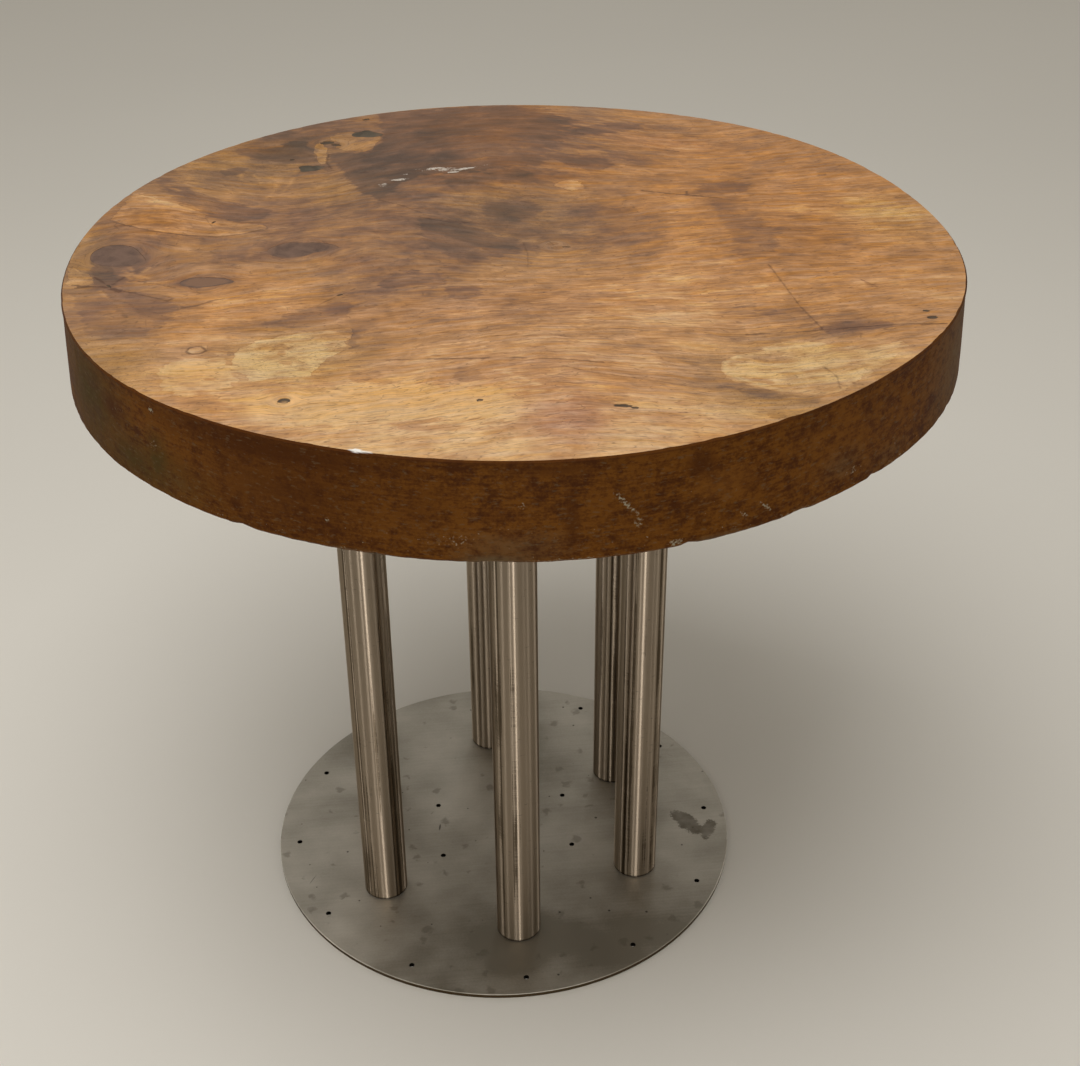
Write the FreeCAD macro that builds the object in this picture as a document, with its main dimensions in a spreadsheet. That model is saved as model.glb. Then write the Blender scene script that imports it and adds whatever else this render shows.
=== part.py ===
import FreeCAD, Part
import math
import os
import Sketcher

# Round dining table: a thick sawn wooden slab on six steel tubes between two round steel plates.
# Millimetres. The origin is the centre of the base plate's underside, on the floor, and +Z is up.
# +X runs along the grain of the slab.

Vector = FreeCAD.Vector
Rotation = FreeCAD.Rotation
SAME = 1e-6

# Driving dimensions
SIZES = {
    "table_height": 750.0,
    # wooden slab, which sits a little off the centre of its base
    "slab_thickness": 90.0,
    "slab_top_diameter": 851.0,
    "slab_under_diameter": 861.0,
    "slab_shift_x": 22.0,
    "slab_shift_y": -2.0,
    "saw_wander": 1.5,
    "upper_arris": 1.5,
    "lower_arris": 4.0,
    "filler_depth": 15.0,
    # the two round plates, cut alike: holes and tubes stand in from the rim
    "plate_diameter": 534.0,
    "plate_thickness": 5.0,
    "plate_edge_break": 0.5,
    "outer_hole_inset": 23.0,
    "outer_hole_count": 12,
    "inner_hole_inset": 179.0,
    "inner_hole_count": 6,
    "hole_clearance": 0.5,
    # the tubes and the plugs in their ends
    "leg_count": 6,
    "leg_inset": 100.0,
    "first_leg_angle": 30.0,
    "tube_diameter": 48.3,
    "tube_wall": 2.0,
    "tube_edge_break": 0.4,
    "plug_thickness": 14.0,
    "plug_recess": 0.5,
    "plug_clearance": 0.05,
    # countersunk socket screws that hold the tubes
    "bolt_diameter": 8.0,
    "bolt_length": 16.0,
    "bolt_head_diameter": 16.0,
    "bolt_head_land": 0.4,
    "bolt_sink": 0.3,
    "bolt_tip_chamfer": 1.0,
    "bolt_hole_clearance": 0.5,
    "thread_clearance": 0.05,
    "thread_lead_in": 1.0,
    "socket_width": 5.0,
    "socket_depth": 2.6,
    # wood screws that hold the slab
    "wood_screw_diameter": 5.0,
    "wood_screw_length": 50.0,
    "wood_screw_tip": 8.0,
    "wood_screw_head_diameter": 10.0,
    "wood_screw_head_height": 3.2,
    "wood_screw_head_round": 1.4,
    "pilot_clearance": 0.05,
    "pilot_spare_depth": 2.0,
}

# Filler patches in the top face: length, width, distance of the centre in from the rim,
# bearing of the centre from the slab's own centre, turn of the patch, both in degrees
FILLER_PATCHES = {
    "left_knot": (67.0, 49.0, 51.0, 177.6, -34.0),
    "long_split": (69.0, 36.0, 224.0, 176.6, 2.0),
    "short_split": (50.0, 23.0, 131.0, 190.8, -2.0),
    "back_knot": (37.0, 28.0, 63.0, 111.0, -10.0),
    "back_split": (29.0, 21.0, 121.0, 129.4, 14.0),
}
PATCH_FIELDS = ("length", "width", "inset", "bearing", "turn")
for patch, values in FILLER_PATCHES.items():
    for field, value in zip(PATCH_FIELDS, values):
        SIZES[f"{patch}_{field}"] = value

# The slab's rim wanders off a true circle in slow waves: waves round the rim, angle of one crest
SAW_WAVES = ((2, 30.0), (3, -13.0), (4, 37.0), (5, -20.0), (6, -24.0))
OUTLINE_POINTS = 36
LOWER_WANDER_SHARE = 0.5

# A patch is egg-shaped: blunt at one end, drawn out by this share at the other
PATCH_POINTS = 8
PATCH_TAPER = 0.35

doc = FreeCAD.newDocument("round_table")
sheet = doc.addObject("Spreadsheet::Sheet", "size")
for row, (alias, value) in enumerate(SIZES.items(), start=1):
    sheet.set(f"A{row}", alias)
    sheet.set(f"B{row}", str(value))
    sheet.setAlias(f"B{row}", alias)
doc.recompute()

# Heights and widths that follow from the driving dimensions
UNDER_SLAB = "(size.table_height - size.slab_thickness)"
UNDER_TOP_PLATE = f"({UNDER_SLAB} - size.plate_thickness)"
TUBE_LENGTH = f"({UNDER_TOP_PLATE} - size.plate_thickness)"
TUBE_BORE = "(size.tube_diameter - 2 * size.tube_wall)"
PLUG_DIAMETER = f"({TUBE_BORE} - 2 * size.plug_clearance)"
THREAD_DIAMETER = "(size.bolt_diameter + 2 * size.thread_clearance)"
BOLT_HEAD_CONE = "(size.bolt_head_diameter - size.bolt_diameter) / 2"
DRILL_DIAMETER = "(size.wood_screw_diameter + 2 * size.hole_clearance)"
PLATE_RADIUS = "size.plate_diameter / 2"
LEG_RADIUS = f"({PLATE_RADIUS} - size.leg_inset)"
HOLE_RADII = {
    "outer": f"({PLATE_RADIUS} - size.outer_hole_inset)",
    "inner": f"({PLATE_RADIUS} - size.inner_hole_inset)",
}

sub_parts = []


def worked_out(formula):
    """The number that a formula of sheet cells gives."""
    return float(doc.getObject("size").evalExpression(formula))


def bind(item, **formulas):
    """Bind properties of an object to formulas of sheet cells."""
    for name, formula in formulas.items():
        item.setExpression(name, formula)


def set_place(item, x="0", y="0", z="0", rotation=None, prefix=".Placement"):
    """Bind an object's position to formulas, after turning it."""
    if rotation is not None:
        place = getattr(item, prefix[1:])
        place.Rotation = rotation
        setattr(item, prefix[1:], place)
    for axis, formula in zip("xyz", (x, y, z)):
        item.setExpression(f"{prefix}.Base.{axis}", formula)


def new_body(name):
    """A body for one sub-part, whose name is also its file's name."""
    body = doc.addObject("PartDesign::Body", name)
    body.Label = name
    return body


def origin_feature(body, role):
    """One of the body's own origin planes or axes."""
    return next(feature for feature in body.Origin.OriginFeatures if feature.Role == role)


def new_sketch(body, name, plane="XY_Plane"):
    """An empty sketch on one of the body's origin planes."""
    sketch = body.newObject("Sketcher::SketchObject", name)
    sketch.AttachmentSupport = [(origin_feature(body, plane), "")]
    sketch.MapMode = "FlatFace"
    return sketch


def dimension(sketch, kind, *places, name, formula):
    """Add a named dimension to a sketch and bind it to a formula."""
    index = sketch.addConstraint(Sketcher.Constraint(kind, *places, worked_out(formula)))
    sketch.renameConstraint(index, name)
    sketch.setExpression(f"Constraints.{name}", formula)


def add_circle(sketch, name, diameter, distance=None):
    """A circle centred on the sketch's origin, or on its X axis at a distance."""
    centre = Vector(worked_out(distance) if distance else 0, 0, 0)
    circle = sketch.addGeometry(Part.Circle(centre, Vector(0, 0, 1), worked_out(diameter) / 2), False)
    if distance:
        sketch.addConstraint(Sketcher.Constraint("PointOnObject", circle, 3, -1))
        dimension(sketch, "DistanceX", -1, 1, circle, 3, name=f"{name}_distance", formula=distance)
    else:
        sketch.addConstraint(Sketcher.Constraint("Coincident", circle, 3, -1, 1))
    dimension(sketch, "Diameter", circle, name=f"{name}_diameter", formula=diameter)


def add_profile(sketch, corners):
    """A closed outline of straight lines. A corner formula of "0" lies on the sketch's axis."""
    spots = [Vector(worked_out(x), worked_out(y), 0) for x, y in corners]
    count = len(corners)
    for index in range(count):
        sketch.addGeometry(Part.LineSegment(spots[index], spots[(index + 1) % count]), False)
    for index in range(count):
        sketch.addConstraint(Sketcher.Constraint("Coincident", index, 2, (index + 1) % count, 1))
    for index, (x, y) in enumerate(corners):
        for kind, axis, formula in (("DistanceX", -2, x), ("DistanceY", -1, y)):
            if formula == "0":
                sketch.addConstraint(Sketcher.Constraint("PointOnObject", index, 1, axis))
            else:
                dimension(sketch, kind, -1, 1, index, 1, name=f"{kind}_{index}", formula=formula)


def add_pattern(body, name, features, count):
    """Repeat features of a body evenly round its Z axis."""
    pattern = body.newObject("PartDesign::PolarPattern", name)
    pattern.Originals = features
    pattern.Axis = (origin_feature(body, "Z_Axis"), [""])
    pattern.Angle = 360
    bind(pattern, Occurrences=count)
    body.Tip = pattern
    return pattern


def add_pad(body, name, sketch, length):
    """Raise a sketch to a solid."""
    pad = body.newObject("PartDesign::Pad", name)
    pad.Profile = sketch
    bind(pad, Length=length)
    return pad


def add_revolution(body, name, sketch):
    """Turn a profile about its sketch's vertical axis."""
    turned = body.newObject("PartDesign::Revolution", name)
    turned.Profile = sketch
    turned.ReferenceAxis = (sketch, ["V_Axis"])
    turned.Angle = 360
    return turned


def add_pocket(body, name, sketch, depth):
    """Cut a sketch upwards into the solid that stands on it."""
    pocket = body.newObject("PartDesign::Pocket", name)
    pocket.Profile = sketch
    pocket.Reversed = True
    bind(pocket, Length=depth)
    return pocket


def add_edge_break(body, name, base, edges, width):
    """Chamfer some edges of a feature."""
    doc.recompute()
    chamfer = body.newObject("PartDesign::Chamfer", name)
    chamfer.Base = (base, edges)
    bind(chamfer, Size=width)
    body.Tip = chamfer
    return chamfer


def circle_edges(feature, diameters):
    """Names of a feature's edges that are whole circles of the given diameters about its Z axis."""
    doc.recompute()
    names = []
    for index, edge in enumerate(feature.Shape.Edges, start=1):
        if not isinstance(edge.Curve, Part.Circle):
            continue
        about_axis = math.hypot(edge.Curve.Center.x, edge.Curve.Center.y) < SAME
        if about_axis and any(abs(2 * edge.Curve.Radius - diameter) < SAME for diameter in diameters):
            names.append(f"Edge{index}")
    return names


def turned_over():
    """The upper plate is the lower one turned over, with its holes still in line with the tubes."""
    return Rotation(Vector(0, 0, 1), worked_out("size.first_leg_angle")) * Rotation(Vector(1, 0, 0), 180)


def in_line():
    """Turns the first hole, drawn on the X axis, to the first leg's angle."""
    return Rotation(Vector(0, 0, 1), worked_out("size.first_leg_angle"))


def make_plate(name):
    """A round plate with two circles of plain holes, and countersunk holes for the tubes' screws.

    The countersinks open on the face at z = 0, which looks away from the tubes.
    """
    body = new_body(name)
    outline = new_sketch(body, f"{name}_outline")
    add_circle(outline, "rim", "size.plate_diameter")
    disc = add_pad(body, f"{name}_disc", outline, "size.plate_thickness")
    rims = circle_edges(disc, [worked_out("size.plate_diameter")])
    add_edge_break(body, f"{name}_edge_break", disc, rims, "size.plate_edge_break")
    for circle, radius in HOLE_RADII.items():
        sketch = new_sketch(body, f"{name}_{circle}_hole")
        add_circle(sketch, "hole", DRILL_DIAMETER, radius)
        hole = add_pocket(body, f"{name}_{circle}_drill", sketch, "size.plate_thickness")
        add_pattern(body, f"{name}_{circle}_holes", [hole], f"size.{circle}_hole_count")
    seat = new_sketch(body, f"{name}_screw_seat", "XZ_Plane")
    set_place(seat, x=LEG_RADIUS, prefix=".AttachmentOffset")
    wide = "(size.bolt_head_diameter / 2 + size.bolt_hole_clearance)"
    narrow = "(size.bolt_diameter / 2 + size.bolt_hole_clearance)"
    land = "size.bolt_sink + size.bolt_head_land"
    through = f"{land} + {BOLT_HEAD_CONE} + size.plate_thickness"
    add_profile(seat, [
        ("0", "0"),
        (wide, "0"),
        (wide, land),
        (narrow, f"{land} + {BOLT_HEAD_CONE}"),
        (narrow, through),
        ("0", through),
    ])
    countersink = body.newObject("PartDesign::Groove", f"{name}_countersink")
    countersink.Profile = seat
    countersink.ReferenceAxis = (seat, ["V_Axis"])
    countersink.Angle = 360
    add_pattern(body, f"{name}_countersinks", [countersink], "size.leg_count")
    return body


def make_tube(name):
    """A length of tube, its ends squared and deburred."""
    body = new_body(name)
    section = new_sketch(body, f"{name}_section")
    add_circle(section, "outside", "size.tube_diameter")
    add_circle(section, "bore", TUBE_BORE)
    length = add_pad(body, f"{name}_length", section, TUBE_LENGTH)
    ends = circle_edges(length, [worked_out("size.tube_diameter"), worked_out(TUBE_BORE)])
    add_edge_break(body, f"{name}_edge_break", length, ends, "size.tube_edge_break")
    return body


def make_plug(name):
    """A disc that fills the end of a tube, with a threaded hole for the plate's screw."""
    body = new_body(name)
    section = new_sketch(body, f"{name}_section")
    add_circle(section, "outside", PLUG_DIAMETER)
    add_circle(section, "thread", THREAD_DIAMETER)
    disc = add_pad(body, f"{name}_disc", section, "size.plug_thickness")
    mouths = circle_edges(disc, [worked_out(THREAD_DIAMETER)])
    add_edge_break(body, f"{name}_lead_in", disc, mouths, "size.thread_lead_in")
    return body


def make_leg_screws(name):
    """Countersunk socket screws, one under each tube, pointing up."""
    body = new_body(name)
    body.AllowCompound = True
    profile = new_sketch(body, f"{name}_profile", "XZ_Plane")
    set_place(profile, x=LEG_RADIUS, y="size.bolt_sink", prefix=".AttachmentOffset")
    head = "size.bolt_head_diameter / 2"
    shank = "size.bolt_diameter / 2"
    add_profile(profile, [
        ("0", "0"),
        (head, "0"),
        (head, "size.bolt_head_land"),
        (shank, f"size.bolt_head_land + {BOLT_HEAD_CONE}"),
        (shank, "size.bolt_length - size.bolt_tip_chamfer"),
        (f"{shank} - size.bolt_tip_chamfer", "size.bolt_length"),
        ("0", "size.bolt_length"),
    ])
    screw = add_revolution(body, f"{name}_screw", profile)
    doc.recompute()
    socket = body.newObject("PartDesign::SubtractivePrism", f"{name}_socket")
    socket.AttachmentSupport = [(origin_feature(body, "XY_Plane"), "")]
    socket.MapMode = "FlatFace"
    socket.Polygon = 6
    set_place(socket, x=LEG_RADIUS, z="size.bolt_sink", prefix=".AttachmentOffset")
    bind(socket, Circumradius="size.socket_width / sqrt(3)", Height="size.socket_depth")
    add_pattern(body, f"{name}_ring", [screw, socket], "size.leg_count")
    return body


def make_wood_screws(name, radius, count):
    """Pan-head wood screws on one hole circle, pointing up, with their heads' lower faces at z = 0."""
    body = new_body(name)
    body.AllowCompound = True
    profile = new_sketch(body, f"{name}_profile", "XZ_Plane")
    set_place(profile, x=radius, prefix=".AttachmentOffset")
    head = "size.wood_screw_head_diameter / 2"
    shank = "size.wood_screw_diameter / 2"
    tip = "size.wood_screw_head_height + size.wood_screw_length"
    add_profile(profile, [
        ("0", "0"),
        (f"{head} - size.wood_screw_head_round", "0"),
        (head, "size.wood_screw_head_round"),
        (head, "size.wood_screw_head_height"),
        (shank, "size.wood_screw_head_height"),
        (shank, f"{tip} - size.wood_screw_tip"),
        ("0", tip),
    ])
    screw = add_revolution(body, f"{name}_screw", profile)
    add_pattern(body, f"{name}_ring", [screw], count)
    return body


def rim_wire(diameter, wander, height):
    """The slab's outline at one height: a circle with the slow waves of a cut made by hand."""
    centre = Vector(worked_out("size.slab_shift_x"), worked_out("size.slab_shift_y"), 0)
    points = []
    for step in range(OUTLINE_POINTS):
        angle = 2 * math.pi * step / OUTLINE_POINTS
        wave = sum(math.cos(waves * (angle - math.radians(crest))) for waves, crest in SAW_WAVES)
        radius = diameter / 2 + wander * wave
        points.append(centre + Vector(radius * math.cos(angle), radius * math.sin(angle), height))
    curve = Part.BSplineCurve()
    curve.interpolate(Points=points, PeriodicFlag=True)
    return Part.Wire(curve.toShape())


def make_slab_blank(name):
    """The sawn slab before drilling: wider below than above, with both arrises eased."""
    thickness = worked_out("size.slab_thickness")
    under = worked_out("size.slab_under_diameter")
    top = worked_out("size.slab_top_diameter")
    lower_arris = worked_out("size.lower_arris")
    upper_arris = worked_out("size.upper_arris")
    upper_wander = worked_out("size.saw_wander")
    lower_wander = upper_wander * LOWER_WANDER_SHARE
    rims = [
        rim_wire(under - 2 * lower_arris, lower_wander, 0),
        rim_wire(under, lower_wander, lower_arris),
        rim_wire(top, upper_wander, thickness - upper_arris),
        rim_wire(top - 2 * upper_arris, upper_wander, thickness),
    ]
    blank = doc.addObject("Part::Feature", name)
    blank.Shape = Part.makeLoft(rims, True, True)
    return blank


def make_filler(name, patch):
    """One patch of filler, flush with the top face: an egg-shaped plug."""
    length = worked_out(f"size.{patch}_length")
    width = worked_out(f"size.{patch}_width")
    points = []
    for step in range(PATCH_POINTS):
        angle = 2 * math.pi * step / PATCH_POINTS
        half_width = width / 2 * (1 - PATCH_TAPER * math.cos(angle))
        points.append(Vector(length / 2 * math.cos(angle), half_width * math.sin(angle), 0))
    curve = Part.BSplineCurve()
    curve.interpolate(Points=points, PeriodicFlag=True)
    face = Part.Face(Part.Wire(curve.toShape()))
    filler = doc.addObject("Part::Feature", name)
    filler.Label = name
    filler.Shape = face.extrude(Vector(0, 0, worked_out("size.filler_depth")))
    turn = Rotation(Vector(0, 0, 1), worked_out(f"size.{patch}_turn"))
    reach = f"(size.slab_top_diameter / 2 - size.{patch}_inset)"
    set_place(
        filler,
        x=f"size.slab_shift_x + {reach} * cos(size.{patch}_bearing * 1 deg)",
        y=f"size.slab_shift_y + {reach} * sin(size.{patch}_bearing * 1 deg)",
        z="size.table_height - size.filler_depth",
        rotation=turn,
    )
    return filler


def make_table_top(fillers):
    """The slab, drilled from below for its screws and cut out on top for the filler."""
    blank = make_slab_blank("slab_blank")
    drilled = doc.addObject("PartDesign::Body", "slab_drilled")
    drilled.BaseFeature = blank
    set_place(drilled, z=UNDER_SLAB)
    doc.recompute()
    for circle, radius in HOLE_RADII.items():
        sketch = new_sketch(drilled, f"slab_{circle}_pilot")
        set_place(sketch, rotation=in_line(), prefix=".AttachmentOffset")
        pilot = "size.wood_screw_diameter + 2 * size.pilot_clearance"
        add_circle(sketch, "pilot", pilot, radius)
        depth = "size.wood_screw_length - size.plate_thickness + size.pilot_spare_depth"
        hole = add_pocket(drilled, f"slab_{circle}_drill", sketch, depth)
        add_pattern(drilled, f"slab_{circle}_pilots", [hole], f"size.{circle}_hole_count")
    patches = doc.addObject("Part::Compound", "filler_patches")
    patches.Links = fillers
    top = doc.addObject("Part::Cut", "table_top")
    top.Label = "table_top"
    top.Base = drilled
    top.Tool = patches
    return top


# Wooden slab and its filler
fillers = [make_filler(f"filler_{patch}", patch) for patch in FILLER_PATCHES]
sub_parts.append(make_table_top(fillers))
sub_parts.extend(fillers)

# The two plates
base_plate = make_plate("base_plate")
set_place(base_plate, rotation=in_line())
top_plate = make_plate("top_plate")
set_place(top_plate, z=UNDER_SLAB, rotation=turned_over())
sub_parts.extend([base_plate, top_plate])

# Tubes, each with a plug in its lower and upper end
for number in range(int(worked_out("size.leg_count"))):
    turn = f"(size.first_leg_angle + {number} * 360 / size.leg_count) * 1 deg"
    spot = {
        "x": f"{LEG_RADIUS} * cos({turn})",
        "y": f"{LEG_RADIUS} * sin({turn})",
    }
    tube = make_tube(f"leg_tube_{number + 1}")
    set_place(tube, z="size.plate_thickness", **spot)
    lower_plug = make_plug(f"lower_plug_{number + 1}")
    set_place(lower_plug, z="size.plate_thickness + size.plug_recess", **spot)
    upper_plug = make_plug(f"upper_plug_{number + 1}")
    set_place(upper_plug, z=f"{UNDER_TOP_PLATE} - size.plug_recess - size.plug_thickness", **spot)
    sub_parts.extend([tube, lower_plug, upper_plug])

# Screws
lower_screws = make_leg_screws("lower_leg_screws")
set_place(lower_screws, rotation=in_line())
upper_screws = make_leg_screws("upper_leg_screws")
set_place(upper_screws, z=UNDER_SLAB, rotation=turned_over())
sub_parts.extend([lower_screws, upper_screws])
for circle, radius in HOLE_RADII.items():
    screws = make_wood_screws(f"{circle}_slab_screws", radius, f"size.{circle}_hole_count")
    set_place(screws, z=f"{UNDER_TOP_PLATE} - size.wood_screw_head_height", rotation=in_line())
    sub_parts.append(screws)

doc.recompute()
for item in doc.Objects:
    if "Invalid" in item.State or "Error" in item.State:
        raise RuntimeError(f"{item.Name} failed: {item.State}")
for piece in sub_parts:
    if piece.Shape.isNull() or not piece.Shape.isValid():
        raise RuntimeError(f"{piece.Label} has no valid shape")

os.makedirs("parts", exist_ok=True)
for piece in sub_parts:
    piece.Shape.exportStep(f"parts/{piece.Label}.step")
    print(f"{piece.Label}: {len(piece.Shape.Solids)} solid(s), {piece.Shape.Volume:.0f} mm3")
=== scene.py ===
"""Looks of a round slab dining table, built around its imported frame. Metres, +Z up, +X along the grain."""

import math
from typing import NamedTuple

import bpy
import numpy as np
from bpy.props import FloatProperty, FloatVectorProperty, IntProperty, PointerProperty
from mathutils import Euler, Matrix, Vector, geometry, kdtree, noise


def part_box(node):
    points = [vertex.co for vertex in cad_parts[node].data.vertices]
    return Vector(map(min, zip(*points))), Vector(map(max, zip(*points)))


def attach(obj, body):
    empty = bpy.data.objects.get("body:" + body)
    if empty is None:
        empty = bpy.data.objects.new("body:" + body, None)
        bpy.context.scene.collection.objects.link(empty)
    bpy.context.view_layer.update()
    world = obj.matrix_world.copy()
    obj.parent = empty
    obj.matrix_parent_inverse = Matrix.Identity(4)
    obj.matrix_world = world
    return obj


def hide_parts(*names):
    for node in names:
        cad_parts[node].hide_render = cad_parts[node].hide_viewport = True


bl_info = {
    "name": "Round slab table",
    "version": (1, 0, 0),
    "blender": (4, 5, 0),
    "location": "View3D > Sidebar > Table",
    "description": "Dresses the frame of a round slab table with its wood, filler and steel",
    "category": "Object",
}

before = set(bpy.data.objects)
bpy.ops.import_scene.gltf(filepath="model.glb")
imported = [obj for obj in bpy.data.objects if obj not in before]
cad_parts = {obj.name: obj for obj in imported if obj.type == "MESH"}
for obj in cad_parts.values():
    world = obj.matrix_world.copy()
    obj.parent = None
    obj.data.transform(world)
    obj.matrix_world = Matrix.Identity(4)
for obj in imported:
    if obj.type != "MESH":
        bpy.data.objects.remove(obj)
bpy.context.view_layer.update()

MM = 0.001
BODY = "root"
FILLERS = ("left_knot", "long_split", "short_split", "back_knot", "back_split")
LEGS = range(1, 7)
SAME_LEVEL = 0.01 * MM
SHARP_EDGE = math.radians(40)

# Points round a filler patch, a pit and the floor, and rings down the rim
FILLER_STEPS = 72
PIT_STEPS = 22
FLOOR_STEPS = 96
WALL_RINGS = 28
# Corners of the slab beyond this share of its reach are on its rim, the others in its pockets
RIM_SHARE = 0.97
# Steps along the lines of the figure and across the underside, in steps of the top face's mesh
LINE_STEP = 0.7
UNDER_STEP = 6

# Wear of the rim: how much the saw took at least, the size of its teeth's marks and of its sway,
# and the height below the upper edge in which they fade out
SAW_LEAST = 0.2 * MM
SAW_TEETH = 11 * MM
SAW_SWAY = 60 * MM
SAW_FADE = 9 * MM
# Crumbs and reach of the worn lower edge, and nicks and reach of the upper one
CRUMB_SIZE = 9 * MM
FOOT_REACH = 6 * MM
NICK_SIZE = 13 * MM
SHOULDER_REACH = 3 * MM
# How far the figure wanders off its drawn outlines, and over what length, in millimetres
WANDER = ((4, 50), (2.5, 15))

# The floor lies a little below the base plate, so that the two faces do not coincide. Its middle is a
# disc of this reach, with a ring round it
FLOOR_DROP = 0.5 * MM
FLOOR_MIDDLE = 1000 * MM
# What the overhead lamp points at, and the width of the camera's sensor in millimetres
LAMP_TARGET = (0, 0, 0.5)
SENSOR_WIDTH = 36


class Mark(NamedTuple):
    """A soft oval of another colour: millimetres and degrees, and how strong and how soft it is."""

    x: float
    y: float
    length: float
    width: float
    strength: float
    turn: float = 0
    soft: float = 0.8


class Patch(NamedTuple):
    """A zone of one kind of wood inside an outline, in millimetres, and the depth of its edge."""

    strength: float
    soft: float
    outline: tuple


class Line(NamedTuple):
    """A thin line through the points of a list, in millimetres."""

    strength: float
    points: tuple


class Chip(NamedTuple):
    """A chip in the upper edge: bearing in degrees, and its sizes in millimetres."""

    bearing: float
    length: float
    reach: float
    depth: float


class Pit(NamedTuple):
    """A small open knot, split or worm hole in the top face: millimetres and degrees."""

    x: float
    y: float
    length: float
    width: float
    turn: float
    depth: float


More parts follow.
